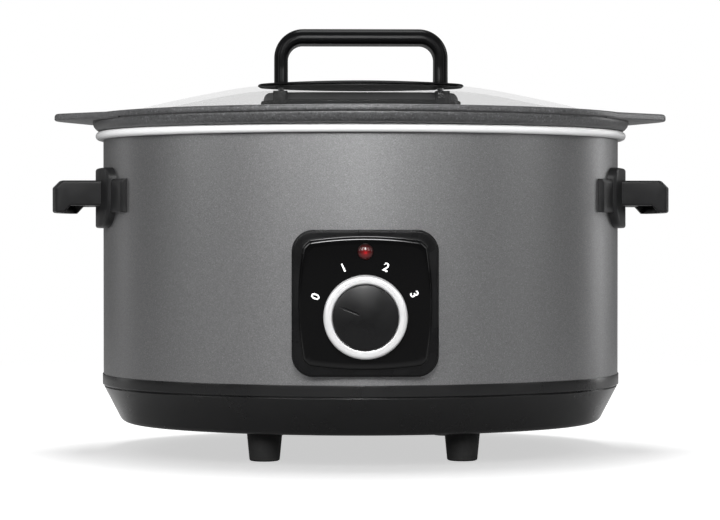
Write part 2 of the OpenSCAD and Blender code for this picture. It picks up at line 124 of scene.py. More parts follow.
def fillet(points, radii=0.4, seg=4, closed=True):
    """Rounds the corners of an outline. radii is one number or one for each point."""
    n = len(points)
    rr = [radii] * n if not isinstance(radii, (list, tuple)) else list(radii)
    out = []
    for i in range(n):
        p = np.array(points[i], float)
        r = rr[i]
        if r <= 0 or (not closed and i in (0, n - 1)):
            out.append(tuple(p))
            continue
        u, v = np.array(points[i - 1], float) - p, np.array(points[(i + 1) % n], float) - p
        lu, lv = np.linalg.norm(u), np.linalg.norm(v)
        u, v = u / lu, v / lv
        ang = math.acos(max(-1, min(1, float(u @ v))))
        if ang > math.pi - 0.05 or ang < 0.02:
            out.append(tuple(p))
            continue
        t = min(r / math.tan(ang / 2), 0.48 * min(lu, lv))
        r = t * math.tan(ang / 2)
        mid = (u + v) / np.linalg.norm(u + v)
        c = p + mid * (r / math.sin(ang / 2))
        s0, s1 = p + u * t - c, p + v * t - c
        a0, a1 = math.atan2(s0[1], s0[0]), math.atan2(s1[1], s1[0])
        da = (a1 - a0 + math.pi) % (2 * math.pi) - math.pi
        for k in range(seg + 1):
            a = a0 + da * k / seg
            out.append((c[0] + r * math.cos(a), c[1] + r * math.sin(a)))
    return out


def arc(cx, cy, r, a0, a1, n=8):
    return [(cx + r * math.cos(math.radians(a0 + (a1 - a0) * i / n)), cy + r * math.sin(math.radians(a0 + (a1 - a0) * i / n))) for i in range(n + 1)]


def spread(points, step):
    """Adds points along long straight runs, so that the mesh has even faces there."""
    out = []
    for i, p in enumerate(points):
        q = points[(i + 1) % len(points)]
        out.append(p)
        k = int(math.hypot(q[0] - p[0], q[1] - p[1]) // step)
        out += [(p[0] + (q[0] - p[0]) * j / (k + 1), p[1] + (q[1] - p[1]) * j / (k + 1)) for j in range(1, k + 1)]
    return out


# ---------------------------------------------------------------- meshes
def mesh_object(name, verts, faces, sharp=38):
    me = bpy.data.meshes.new(name)
    me.from_pydata([tuple(v) for v in np.asarray(verts, float) * 0.001], [], faces)
    bm = bmesh.new()
    bm.from_mesh(me)
    bmesh.ops.remove_doubles(bm, verts=bm.verts, dist=2e-7)
    bmesh.ops.dissolve_degenerate(bm, edges=bm.edges, dist=1e-7)
    bmesh.ops.recalc_face_normals(bm, faces=bm.faces)
    bm.to_mesh(me)
    bm.free()
    me.shade_smooth()
    if sharp:
        me.set_sharp_from_angle(angle=math.radians(sharp))
    o = bpy.data.objects.new(name, me)
    bpy.context.scene.collection.objects.link(o)
    return o


def loft(name, loops, wrap=False, cap0=False, cap1=False, sharp=38, open_loop=False):
    """Joins loops of equally many points. wrap joins the last loop to the first; a cap closes an end."""
    n = len(loops[0])
    verts = np.concatenate([np.asarray(l, float).reshape(n, 3) for l in loops])
    faces = []
    m = len(loops)
    for i in range(m if wrap else m - 1):
        a, b = i * n, ((i + 1) % m) * n
        for j in range(n - 1 if open_loop else n):
            k = (j + 1) % n
            faces.append((a + j, a + k, b + k, b + j))
    if cap0:
        faces.append(tuple(range(n - 1, -1, -1)))
    if cap1:
        faces.append(tuple(range((m - 1) * n, m * n)))
    return mesh_object(name, verts, faces, sharp)


def oval_ring(name, profile, oval=BODY, sharp=38):
    """A band that follows an oval. The profile is a closed list of (offset, height)."""
    loops = []
    for d, z in profile:
        p = oval.at(THETA, d)
        loops.append(np.column_stack([p, np.full(len(p), z)]))
    return loft(name, loops, wrap=True, sharp=sharp)


def oval_disc(name, profile, oval=BODY, sharp=38):
    """A plate whose edge follows an oval; the profile runs round the edge and both faces are closed at its ends."""
    loops = []
    for d, z in profile:
        p = oval.at(THETA, d)
        loops.append(np.column_stack([p, np.full(len(p), z)]))
    return loft(name, loops, cap0=True, cap1=True, sharp=sharp)


def lathe(name, profile, centre=(0, 0, 0), axis="z", n=96, sharp=38):
    """A turned piece. The profile is (radius, height) from one end to the other; a radius of 0 closes it."""
    a = np.linspace(0, 2 * math.pi, n, endpoint=False)
    loops = []
    for r, h in profile:
        x, y, z = max(r, 1e-4) * np.cos(a), max(r, 1e-4) * np.sin(a), np.full(n, h)
        if axis == "-y":
            x, y, z = x, -z, y
        elif axis == "y":
            x, y, z = -x, z, y
        loops.append(np.column_stack([x, y, z]) + np.array(centre))
    closed0, closed1 = profile[0][0] <= 1e-3, profile[-1][0] <= 1e-3
    return loft(name, loops, wrap=not (closed0 or closed1), cap0=closed0, cap1=closed1, sharp=sharp)


def select_only(o):
    for x in bpy.context.view_layer.objects:
        x.select_set(x is o)
    bpy.context.view_layer.objects.active = o


def apply_mods(o):
    dg = bpy.context.evaluated_depsgraph_get()
    dg.update()
    me = bpy.data.meshes.new_from_object(o.evaluated_get(dg), preserve_all_data_layers=True, depsgraph=dg)
    o.modifiers.clear()
    o.data = me


def cut(o, tools, op="DIFFERENCE"):
    """Exact boolean with each tool, which is then removed."""
    for t in tools:
        b = o.modifiers.new("b", "BOOLEAN")
        b.operation, b.solver, b.object = op, "EXACT", t
        apply_mods(o)
        bpy.data.objects.remove(t, do_unlink=True)
    bm = bmesh.new()
    bm.from_mesh(o.data)
    bmesh.ops.remove_doubles(bm, verts=bm.verts, dist=1e-6)
    bmesh.ops.dissolve_degenerate(bm, edges=bm.edges, dist=1e-6)
    bm.to_mesh(o.data)
    bm.free()
    return o


def bevel(o, width, seg=2, angle=50):
    b = o.modifiers.new("edge", "BEVEL")
    b.width, b.segments, b.limit_method, b.angle_limit = width * 0.001, seg, "ANGLE", math.radians(angle)
    b.use_clamp_overlap = True
    b.miter_outer = "MITER_ARC"
    apply_mods(o)
    o.data.shade_smooth()
    o.data.set_sharp_from_angle(angle=math.radians(38))
    return o


def join(name, objs):
    """One object from several, without operators."""
    bm = bmesh.new()
    for o in objs:
        me = o.data.copy()
        me.transform(o.matrix_world)
        bm.from_mesh(me)
        bpy.data.meshes.remove(me)
    me = bpy.data.meshes.new(name)
    bm.to_mesh(me)
    bm.free()
    me.shade_smooth()
    me.set_sharp_from_angle(angle=math.radians(38))
    for o in objs:
        bpy.data.objects.remove(o, do_unlink=True)
    o = bpy.data.objects.new(name, me)
    bpy.context.scene.collection.objects.link(o)
    return o


def mirrored(name, o, axis=0):
    me = o.data.copy()
    s = [1, 1, 1]
    s[axis] = -1
    me.transform(Matrix.Diagonal((*s, 1)))
    me.flip_normals()
    c = bpy.data.objects.new(name, me)
    bpy.context.scene.collection.objects.link(c)
    return c


# ---------------------------------------------------------------- materials
class Tree:
    def __init__(self, name):
        self.m = bpy.data.materials.new(name)
        self.m.use_nodes = True
        self.t = self.m.node_tree
        self.t.nodes.clear()
        self.out = self.t.nodes.new("ShaderNodeOutputMaterial")
        self.b = self.t.nodes.new("ShaderNodeBsdfPrincipled")
        self.t.links.new(self.b.outputs[0], self.out.inputs[0])
        self.co = self.t.nodes.new("ShaderNodeTexCoord")

    def node(self, kind, **k):
        n = self.t.nodes.new(kind)
        for a, v in k.items():
            if a == "inputs":
                for i, x in v.items():
                    n.inputs[i].default_value = x
            else:
                setattr(n, a, v)
        return n

    def link(self, a, b):
        self.t.links.new(a, b)

    def mapped(self, scale=(1, 1, 1), rot=(0, 0, 0)):
        m = self.node("ShaderNodeMapping")
        m.inputs["Scale"].default_value = scale
        m.inputs["Rotation"].default_value = rot
        self.link(self.co.outputs["Object"], m.inputs["Vector"])
        return m.outputs[0]

    def noise(self, scale, detail=2.0, rough=0.5, vec=None, distortion=0.0):
        n = self.node("ShaderNodeTexNoise")
        n.inputs["Scale"].default_value = scale
        n.inputs["Detail"].default_value = detail
        n.inputs["Roughness"].default_value = rough
        n.inputs["Distortion"].default_value = distortion
        self.link(vec if vec is not None else self.co.outputs["Object"], n.inputs["Vector"])
        return n.outputs["Fac"]

    def cells(self, scale, vec=None, out="Color"):
        n = self.node("ShaderNodeTexVoronoi")
        n.inputs["Scale"].default_value = scale
        self.link(vec if vec is not None else self.co.outputs["Object"], n.inputs["Vector"])
        return n.outputs[out]

    def ramp(self, fac, stops, smooth=False):
        r = self.node("ShaderNodeValToRGB")
        if smooth:
            r.color_ramp.interpolation = "EASE"
        el = r.color_ramp.elements
        while len(el) > 1:
            el.remove(el[-1])
        for i, (p, c) in enumerate(stops):
            e = el[0] if i == 0 else el.new(p)
            e.position = p
            c = (c, c, c) if isinstance(c, (int, float)) else c
            e.color = (*c, 1)
        self.link(fac, r.inputs[0])
        return r.outputs[0]

    def mix(self, fac, a, b, kind="MIX"):
        m = self.node("ShaderNodeMix", data_type="RGBA", blend_type=kind)
        for i, v in ((0, fac), (6, a), (7, b)):
            if isinstance(v, bpy.types.NodeSocket):
                self.link(v, m.inputs[i])
            elif i == 0:
                m.inputs[0].default_value = v
            else:
                v = (v, v, v) if isinstance(v, (int, float)) else v
                m.inputs[i].default_value = (*v, 1)
        return m.outputs[2]

    def math(self, op, a, b=0.0, c=None, clamp=False):
        m = self.node("ShaderNodeMath", operation=op)
        m.use_clamp = clamp
        for i, v in enumerate((a, b) if c is None else (a, b, c)):
            if isinstance(v, bpy.types.NodeSocket):
                self.link(v, m.inputs[i])
            else:
                m.inputs[i].default_value = v
        return m.outputs[0]

    def bump(self, height, strength, distance, normal=None):
        b = self.node("ShaderNodeBump")
        b.inputs["Strength"].default_value = strength
        b.inputs["Distance"].default_value = distance
        self.link(height, b.inputs["Height"])
        if normal is not None:
            self.link(normal, b.inputs["Normal"])
        return b.outputs[0]

    def set(self, **k):
        for name, v in k.items():
            s = self.b.inputs[name.replace("_", " ")]
            if isinstance(v, bpy.types.NodeSocket):
                self.link(v, s)
            else:
                s.default_value = (*v, 1) if isinstance(v, tuple) and len(v) == 3 else v
        return self


def m_paint():
    """Charcoal metallic paint: a fine even grain of flakes under a thin satin clear coat."""
    t = Tree("wrap_paint_m")
    grain = t.noise(2300, 2.0, 0.55)
    flakes = t.cells(2600)
    sep = t.node("ShaderNodeSeparateColor")
    t.link(flakes, sep.inputs[0])
    lit = t.ramp(sep.outputs[0], [(0.0, 0.86), (0.5, 0.98), (0.85, 1.08), (1.0, 1.30)])
    base = t.ramp(grain, [(0.30, (0.108, 0.108, 0.110)), (0.52, (0.136, 0.136, 0.138)), (0.74, (0.172, 0.172, 0.174))])
    cloud = t.ramp(t.noise(9, 2, 0.5), [(0.3, 0.98), (0.7, 1.02)])
    col = t.mix(1.0, t.mix(1.0, base, lit, "MULTIPLY"), cloud, "MULTIPLY")
    rough = t.ramp(t.noise(620, 2, 0.5), [(0.3, 0.38), (0.7, 0.46)])
    t.set(Base_Color=col, Metallic=0.80, Roughness=rough, Specular_IOR_Level=0.5)
    t.b.inputs["Coat Weight"].default_value = 0.06
    t.b.inputs["Coat Roughness"].default_value = 0.25
    t.set(Normal=t.bump(grain, 0.14, 0.00022))
    return t.m


def m_bright():
    """Polished and brushed stainless steel."""
    t = Tree("bright_steel_m")
    lines = t.noise(70, 4, 0.6, t.mapped((1, 1, 34)))
    fine = t.noise(900, 2, 0.5)
    col = t.ramp(lines, [(0.25, (0.80, 0.80, 0.805)), (0.75, (0.93, 0.93, 0.935))])
    rough = t.ramp(fine, [(0.3, 0.17), (0.7, 0.27)])
    t.set(Base_Color=col, Metallic=1.0, Roughness=rough, Normal=t.bump(lines, 0.05, 0.0002))
    return t.m


def m_bead():
    """The well's bright rolled edge: polished aluminium with a fine drawn line."""
    t = Tree("well_bright_m")
    lines = t.noise(60, 4, 0.6, t.mapped((1, 1, 40)))
    fine = t.noise(900, 2, 0.5)
    t.set(Base_Color=t.ramp(lines, [(0.25, (0.52, 0.52, 0.524)), (0.75, (0.60, 0.60, 0.602))]), Metallic=0.0,
          Roughness=t.ramp(fine, [(0.3, 0.36), (0.7, 0.42)]))
    return t.m


def m_ring():
    """The knob's satin aluminium ring, turned, so its fine lines run round it."""
    t = Tree("knob_ring_m")
    lo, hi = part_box("knob_ring")
    c = (lo + hi) / 2
    v = t.node("ShaderNodeVectorMath", operation="SUBTRACT")
    t.link(t.co.outputs["Object"], v.inputs[0])
    v.inputs[1].default_value = (c.x, 0, c.z)
    sep = t.node("ShaderNodeSeparateXYZ")
    t.link(v.outputs[0], sep.inputs[0])
    r = t.math("SQRT", t.math("ADD", t.math("MULTIPLY", sep.outputs[0], sep.outputs[0]), t.math("MULTIPLY", sep.outputs[2], sep.outputs[2])))
    comb = t.node("ShaderNodeCombineXYZ")
    t.link(t.math("MULTIPLY", r, 1.0), comb.inputs[0])
    lines = t.noise(5200, 3, 0.6, comb.outputs[0])
    col = t.ramp(lines, [(0.3, (0.52, 0.52, 0.523)), (0.7, (0.62, 0.62, 0.623))])
    fine = t.noise(1400, 2, 0.5)
    t.set(Base_Color=col, Metallic=0.55, Roughness=t.ramp(fine, [(0.3, 0.28), (0.7, 0.38)]), Normal=t.bump(lines, 0.08, 0.0001))
    return t.m


def m_steel():
    """Zinc plated steel: faint crystalline mottling."""
    t = Tree("plain_steel_m")
    spangle = t.cells(320)
    sep = t.node("ShaderNodeSeparateColor")
    t.link(spangle, sep.inputs[0])
    col = t.ramp(sep.outputs[1], [(0.0, (0.50, 0.51, 0.53)), (1.0, (0.68, 0.69, 0.70))])
    worn = t.noise(260, 4, 0.6)
    t.set(Base_Color=t.mix(t.ramp(worn, [(0.45, 0.0), (0.75, 0.35)]), col, (0.44, 0.43, 0.41)), Metallic=1.0,
          Roughness=t.ramp(worn, [(0.3, 0.30), (0.7, 0.46)]), Normal=t.bump(worn, 0.06, 0.0003))
    return t.m


def m_alu():
    t = Tree("alu_plain_m")
    lines = t.noise(40, 4, 0.6, t.mapped((1, 22, 1)))
    t.set(Base_Color=t.ramp(lines, [(0.3, (0.66, 0.67, 0.68)), (0.7, (0.80, 0.81, 0.82))]), Metallic=1.0,
          Roughness=t.ramp(lines, [(0.3, 0.26), (0.7, 0.40)]), Normal=t.bump(lines, 0.08, 0.0002))
    return t.m


def m_gloss(name="black_gloss_m", base=(0.0022, 0.0022, 0.0024), rough=(0.11, 0.17), grain=0.02, level=0.22):
    """Glossy moulded plastic: a barely uneven surface, a trace of handling haze."""
    t = Tree(name)
    haze = t.noise(38, 3, 0.55)
    fine = t.noise(1500, 2, 0.5)
    wave = t.noise(22, 1, 0.4)
    col = t.mix(t.ramp(haze, [(0.4, 0.0), (0.8, 0.35)]), base, tuple(x * 1.6 for x in base))
    t.set(Base_Color=col, Roughness=t.ramp(haze, [(0.3, rough[0]), (0.75, rough[1])]), IOR=1.46, Specular_IOR_Level=level,
          Normal=t.bump(wave, 0.05, 0.0006, t.bump(fine, grain, 0.00005)))
    return t.m


def m_satin(name="black_satin_m", base=(0.0085, 0.0085, 0.0088), rough=(0.30, 0.42), size=1700, strength=0.20, level=0.14):
    """Satin moulded plastic with a fine spark-eroded grain."""
    t = Tree(name)
    grain = t.noise(size, 3, 0.6)
    pits = t.cells(size * 0.75, out="Distance")
    haze = t.noise(45, 3, 0.5)
    col = t.mix(t.ramp(haze, [(0.35, 0.0), (0.75, 0.5)]), base, tuple(x * 1.45 for x in base))
    height = t.math("ADD", grain, t.math("MULTIPLY", pits, 0.5))
    t.set(Base_Color=col, Roughness=t.ramp(t.noise(90, 2, 0.5), [(0.3, rough[0]), (0.7, rough[1])]), IOR=1.46, Specular_IOR_Level=level,
          Normal=t.bump(height, strength, 0.00006))
    return t.m


def m_rubber():
    t = Tree("foot_rubber_m")
    g = t.noise(800, 4, 0.6)
    dust = t.noise(120, 4, 0.6)
    t.set(Base_Color=t.mix(t.ramp(dust, [(0.5, 0.0), (0.8, 0.4)]), (0.010, 0.010, 0.010), (0.024, 0.0235, 0.023)),
          Roughness=t.ramp(g, [(0.3, 0.55), (0.7, 0.72)]), Specular_IOR_Level=0.16, Normal=t.bump(g, 0.2, 0.0001))
    return t.m


def m_pot():
    """Speckled non-stick coating: pale and dark flecks in a charcoal ground, with a slight orange peel."""
    t = Tree("pot_coating_m")
    fleck = t.noise(760, 3, 0.65)
    big = t.noise(300, 3, 0.6)
    ground = t.ramp(big, [(0.3, (0.036, 0.036, 0.037)), (0.7, (0.058, 0.058, 0.060))])
    pale = t.ramp(fleck, [(0.56, 0.0), (0.66, 1.0)])
    dark = t.ramp(fleck, [(0.34, 1.0), (0.42, 0.0)])
    col = t.mix(pale, ground, (0.105, 0.107, 0.110))
    col = t.mix(dark, col, (0.011, 0.011, 0.0115))
    t.set(Base_Color=col, Metallic=0.25, Roughness=t.ramp(fleck, [(0.35, 0.34), (0.65, 0.50)]),
          Normal=t.bump(big, 0.16, 0.0004, t.bump(fleck, 0.22, 0.0002)))
    return t.m


def m_glass():
    """Clear toughened glass with a faint grey body colour, thin enough to see the lid's fittings through it."""
    t = Tree("lid_glass_m")
    smear = t.noise(30, 3, 0.6)
    t.set(Base_Color=t.ramp(smear, [(0.35, (0.085, 0.087, 0.087)), (0.75, (0.105, 0.107, 0.107))]), Roughness=t.ramp(smear, [(0.5, 0.02), (0.85, 0.06)]), IOR=1.5)
    t.b.inputs["Alpha"].default_value = 0.10
    return t.m


def m_lens():
    """Deep clear red plastic over a small bright lamp, with faint moulded prisms inside; the lamp's glow is painted
    into the colour as a bright red centre that darkens outward.
    """
    t = Tree("lens_red_m")
    lo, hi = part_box("indicator_lens")
    v = t.node("ShaderNodeVectorMath", operation="SUBTRACT")
    t.link(t.co.outputs["Object"], v.inputs[0])
    v.inputs[1].default_value = (0, 0, (lo.z + hi.z) / 2 - 0.0006)
    sep = t.node("ShaderNodeSeparateXYZ")
    t.link(v.outputs[0], sep.inputs[0])
    r = t.math("SQRT", t.math("ADD", t.math("MULTIPLY", sep.outputs[0], sep.outputs[0]), t.math("MULTIPLY", sep.outputs[2], sep.outputs[2])))
    # Painted lamp glow: the base colour is brightest red at the centre and darkens outward. It stands in for the lamp's
    # light through the lens.
    painted_lamp_glow = t.ramp(t.math("MULTIPLY", r, 200.0), [(0.05, (0.26, 0.002, 0.004)), (0.35, (0.085, 0.0009, 0.0018)), (0.70, (0.032, 0.0004, 0.0007)), (0.95, (0.006, 0.0003, 0.0003))], True)
    prisms = t.cells(620, out="Distance")
    col = t.mix(t.ramp(prisms, [(0.15, 0.0), (0.7, 0.35)]), painted_lamp_glow, (0.03, 0.001, 0.001))
    t.set(Base_Color=col, Roughness=t.ramp(prisms, [(0.2, 0.30), (0.6, 0.38)]), Specular_IOR_Level=0.10, IOR=1.5)
    t.b.inputs["Coat Weight"].default_value = 0.50
    t.b.inputs["Coat Roughness"].default_value = 0.02
    return t.m


def m_lamp():
    t = Tree("lamp_glass_m")
    n = t.noise(400, 2, 0.5)
    t.set(Base_Color=t.ramp(n, [(0.3, (0.85, 0.50, 0.32)), (0.7, (0.95, 0.70, 0.52))]), Roughness=t.ramp(n, [(0.3, 0.05), (0.7, 0.12)]),
          IOR=1.45, Transmission_Weight=0.6)
    return t.m


def m_dull(name, a, b, rough=(0.6, 0.8), size=300, metal=0.0, strength=0.15):
    t = Tree(name)
    n = t.noise(size, 4, 0.6)
    t.set(Base_Color=t.ramp(n, [(0.3, a), (0.7, b)]), Roughness=t.ramp(n, [(0.3, rough[0]), (0.7, rough[1])]), Metallic=metal,
          Normal=t.bump(n, strength, 0.0002))
    return t.m


def m_print():
    """White pad-printed ink, very slightly uneven."""
    t = Tree("dial_ink_m")
    n = t.noise(900, 3, 0.6)
    t.set(Base_Color=t.ramp(n, [(0.3, (0.78, 0.78, 0.77)), (0.7, (0.90, 0.90, 0.89))]), Roughness=t.ramp(n, [(0.3, 0.42), (0.7, 0.55)]))
    return t.m


MAT = {
    "wrap_paint": m_paint(),
    "bright_steel": m_bright(),
    "plain_steel": m_steel(),
    "black_gloss": m_gloss(),
    "black_satin": m_satin(),
    "foot_rubber": m_rubber(),
    "alu_plain": m_alu(),
    "pot_coating": m_pot(),
    "heater_mica": m_dull("heater_mica_m", (0.42, 0.36, 0.24), (0.62, 0.56, 0.42), (0.5, 0.7), 240),
    "terminal_ceramic": m_dull("terminal_ceramic_m", (0.78, 0.76, 0.69), (0.88, 0.86, 0.80), (0.4, 0.55), 500),
    "lens_red": m_lens(),
    "lamp_glass": m_lamp(),
    "lid_glass": m_glass(),
    "wire_brown": m_dull("wire_brown_m", (0.15, 0.065, 0.030), (0.24, 0.11, 0.05), (0.4, 0.55), 700),
    "wire_blue": m_dull("wire_blue_m", (0.025, 0.07, 0.26), (0.05, 0.12, 0.38), (0.4, 0.55), 700),
    "wire_green": m_dull("wire_green_m", (0.10, 0.30, 0.03), (0.55, 0.50, 0.03), (0.4, 0.55), 200),
    "fuse_brass": m_dull("fuse_brass_m", (0.62, 0.45, 0.17), (0.78, 0.60, 0.28), (0.25, 0.4), 400, 1.0, 0.05),
    "gasket_rubber": m_dull("gasket_rubber_m", (0.018, 0.018, 0.018), (0.034, 0.034, 0.034), (0.6, 0.75), 900),
}
for s in set(SLOT.values()) - set(MAT):
    MAT[s] = m_dull(s + "_m", (0.3, 0.3, 0.3), (0.4, 0.4, 0.4))
RING = m_ring()
INK = m_print()
KNOB = m_satin("knob_black_m", (0.0036, 0.0036, 0.0038), (0.26, 0.36), 2100, 0.12, 0.17)
PANEL = m_satin("panel_bezel_m", (0.0030, 0.0030, 0.0032), (0.24, 0.32), 2300, 0.10, 0.14)
FIELD = m_gloss("panel_field_m", (0.0014, 0.0014, 0.0015), (0.08, 0.12), 0.012, 0.30)
BEAD = m_bead()
BASE = m_gloss("base_gloss_m", (0.0034, 0.0034, 0.0036), (0.26, 0.32), 0.02, 0.36)
HANDLE = m_gloss("lid_handle_gloss_m", (0.0030, 0.0030, 0.0032), (0.22, 0.28), 0.02, 0.05)

for n, o in NODES.items():
    o.data.materials.clear()
    o.data.materials.append(MAT[SLOT[n]])

BODY_BY_NODE = {n: o.parent.name.split(":")[-1] for n, o in NODES.items()}


def stands_for(o, node, mat=None):
    o.data.materials.clear()
    o.data.materials.append(mat or MAT[SLOT[node]])
    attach(o, BODY_BY_NODE[node])
    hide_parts(node)
    return o


def belongs(o, node, mat):
    o.data.materials.clear()
    o.data.materials.append(mat)
    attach(o, BODY_BY_NODE[node])
    return o


# ---------------------------------------------------------------- body shell
WRAP_TOP = mm("outer_wrap")[1][2]
WRAP_LOW = mm("outer_wrap")[0][2]
wrap_profile = spread(fillet([(-0.8, WRAP_LOW), (0, WRAP_LOW), (0, WRAP_LOW + 0.6), (0, WRAP_TOP - 0.6), (0, WRAP_TOP), (-0.8, WRAP_TOP)],
                             [0.2, 0.2, 0, 0, 0.2, 0.2], 2), 12)
stands_for(oval_ring("outer_wrap_shell", wrap_profile), "outer_wrap")

# The well hangs in the wrap from its flange, whose edge is rolled into the bright bead.
well_top = 200.6
bead = arc(2.4, 202, 2.6, -112.6, 212.6, 40)
well_out = [(-50, 48)] + arc(-33, 58, 10, -90, 0, 14) + spread([(-23, 58.5), (-23, 198.6)], 20)[:-8] + [(-23, 199.3), (-22.7, 199.6)]
well_out = [(-50, 48)] + arc(-33, 58, 10, -90, 0, 14) + [(-23, z) for z in range(65, 198, 12)] + arc(-22, 198.6, 1.0, 180, 90, 4)
well_in = [(-23.6, 200.6)] + arc(-23.4, 200.0, 0.6, 90, 180, 3) + [(-24, z) for z in range(196, 60, -12)] + arc(-33, 58, 9, 0, -90, 14) + [(-50, 49)]
well = [(-112, 48), (-80, 48)] + well_out + bead + well_in + [(-80, 49), (-112, 49)]
stands_for(oval_disc("heating_well_pressing", well), "heating_well", BEAD)

# ---------------------------------------------------------------- base
SK = mm("base_skirt")[0][2]
skirt = (fillet([(-18, SK), (-18, 20.5), (-28, 20.5), (-28, 23), (-16.4, 23), (-14.6, 24), (-3.4, 41), (-3.4, 43), (-0.05, 43), (-0.05, 49.2), (0.25, 49.2)],
                [0, 0.2, 0.4, 0.4, 0.6, 0.8, 0.8, 0.4, 0.05, 0.1, 0], 3, closed=False)
         + arc(0.25, 48.85, 0.35, 90, 0, 5)
         + [(0.6, 46), (0.6, 43.2)] + arc(0.15, 42.75, 0.45, 0, -70, 5)
         + [(-0.25, 42.0), (-0.55, 41.75), (-0.85, 41.5), (-0.75, 41.25)]
         + fillet([(-0.75, 41.25), (-0.45, 41.0), (-10.86, 20.91)], [0, 0.5, 0], 5, closed=False)[1:-1]
         + arc(-16, SK + 6, 6, -31, -90, 12))
stands_for(oval_ring("base_skirt_moulding", skirt), "base_skirt", BASE)

feet = []
fl, fh = mm("feet")
fx, fy = fh[0] - 11, fh[1] - 11
foot = fillet([(4.4, 7), (4.4, 0), (9.25, 0), (11, 18), (2.2, 18), (2.2, 7)], [0.2, 0.5, 1.3, 0.15, 0.2, 0], 6)
for i, (sx, sy) in enumerate(((-1, -1), (1, -1), (-1, 1), (1, 1))):
    feet.append(lathe(f"foot{i}", foot, (sx * fx, sy * fy, 0), n=72))
stands_for(join("feet_turned", feet), "feet")


def pan_head(name, centre, r, h, shank_r, shank_h, axis="z"):
    """A pan-head screw seen from its head: a domed head with a cross recess. The head's flat is at height 0 and its shank goes up."""
    prof = [(0.0, -h)] + [(r * math.sin(math.radians(a)) * 0.98, -h * (0.55 + 0.45 * math.cos(math.radians(a)))) for a in range(12, 90, 11)] + [(r, -h * 0.5), (r, -0.1), (r - 0.1, 0), (shank_r, 0), (shank_r, shank_h - 0.3), (shank_r - 0.3, shank_h), (0.0, shank_h)]
    o = lathe(name, prof, centre, n=48)
    tools = []
    for k in range(2):
        w, l, d = r * 0.20, r * 1.15, h * 0.62
        c = Vector(centre) + Vector((0, 0, -h))
        x, y = (l, w) if k == 0 else (w, l)
        pts0 = [(c.x + a * x / 2, c.y + b * y / 2, c.z - 0.6) for a, b in ((-1, -1), (1, -1), (1, 1), (-1, 1))]
        pts1 = [(c.x + a * x / 2, c.y + b * y / 2, c.z + d * 0.45) for a, b in ((-1, -1), (1, -1), (1, 1), (-1, 1))]
        pts2 = [(c.x + a * x / 5, c.y + b * y / 5, c.z + d) for a, b in ((-1, -1), (1, -1), (1, 1), (-1, 1))]
        tools.append(loft(f"{name}_t{k}", [pts0, pts1, pts2], cap0=True, cap1=True))
    return cut(o, tools)


scr = [pan_head(f"fs{i}", (sx * fx, sy * fy, 7.0), 4.0, 2.4, 2.0, 17.5) for i, (sx, sy) in enumerate(((-1, -1), (1, -1), (-1, 1), (1, 1)))]
stands_for(join("foot_screws_pan", scr), "foot_screws")
scr = [pan_head(f"cs{i}", (x, y, SK + 1.2), 3.4, 1.2, 1.6, 8.8) for i, (x, y) in enumerate(((-144, 0), (144, 0), (0, -111), (0, 111)))]
stands_for(join("cover_screws_pan", scr), "cover_screws")

# ---------------------------------------------------------------- control panel
PZ = (mm("control_panel")[0][2] + mm("control_panel")[1][2]) / 2
KZ = (mm("knob_ring")[0][2] + mm("knob_ring")[1][2]) / 2
LZ = (mm("indicator_lens")[0][2] + mm("indicator_lens")[1][2]) / 2
FACE = -mm("control_panel")[0][1]


def polar_square(phi, s, r):
    """Distance from the centre to a rounded square's edge in direction phi."""
    c, sn = np.abs(np.cos(phi)), np.abs(np.sin(phi))
    h = s / 2
    out = h / np.maximum(c, sn)
    k = h - r
    b = k * c + k * sn
    disc = b * b - (2 * k * k - r * r)
    corner = b + np.sqrt(np.maximum(disc, 0))
    x, y = corner * c, corner * sn
    return np.where((x > k) & (y > k), corner, out)


def polar_field(phi, inset=0.0):
    """The raised field's outline: four long bowed sides and round corners."""
    r = polar_square(phi, 78 - 2 * inset, 14 - inset)
    for q in range(4):
        c = np.cos(phi - q * math.pi / 2)
        s = np.sin(phi - q * math.pi / 2)
        R = 219 - inset
        ray = -180 * c + np.sqrt(R * R - (180 * s) ** 2)
        r = np.where(c > 0.3, np.minimum(r, ray), r)
    return r


PHI = np.linspace(0, 2 * math.pi, 480, endpoint=False)


def panel_loop(radius, forward):
    x, v = radius * np.cos(PHI), radius * np.sin(PHI)
    y = -(np.full_like(x, forward) if np.isscalar(forward) else forward)
    return np.column_stack([x, y, PZ + v])


def wrap_front(x):
    """How far forward the wrap's face is at a distance x from the middle."""
    th = np.linspace(270 - 30, 270 + 30, 601)
    p = BODY.at(th, 0)
    return -np.interp(x, p[:, 0], p[:, 1])


loops = []
r0 = polar_square(PHI, 87, 13)
back = wrap_front(r0 * np.cos(PHI)) - 0.25
inner = polar_square(PHI, 80, 10)
loops.append(panel_loop(inner, wrap_front(inner * np.cos(PHI)) - 0.25))
loops.append(panel_loop(r0, back))
loops.append(panel_loop(r0, back + 0.4))
for t in np.linspace(0, 90, 6):
    loops.append(panel_loop(polar_square(PHI, 87 - 2 * 0.45 * (1 - math.cos(math.radians(t))), 13), 137.75 + 0.45 * math.sin(math.radians(t))))
loops.append(panel_loop(polar_square(PHI, 85.5, 12.3), 138.2))
loops.append(panel_loop(polar_square(PHI, 85.4, 12.2), 138.3))
for t in np.linspace(0, 90, 6):
    loops.append(panel_loop(polar_square(PHI, 85.4 - 2 * 0.5 * (1 - math.cos(math.radians(t))), 12.2), 138.5 + 0.5 * math.sin(math.radians(t))))
edge = polar_square(PHI, 84.4, 11.8)
fld = polar_field(PHI, -0.5)
for f in (0.33, 0.66):
    loops.append(panel_loop(edge + (fld - edge) * f, 139.0))
for t in np.linspace(0, 90, 5):
    a = math.radians(t)
    loops.append(panel_loop(polar_field(PHI, -0.5 + 0.5 * math.sin(a)), 139.5 - 0.5 * math.cos(a)))
for t in np.linspace(0, 90, 8):
    a = math.radians(t)
    loops.append(panel_loop(polar_field(PHI, 1.5 * (1 - math.cos(a))), FACE - 1.5 + 1.5 * math.sin(a)))
last = polar_field(PHI, 1.5)
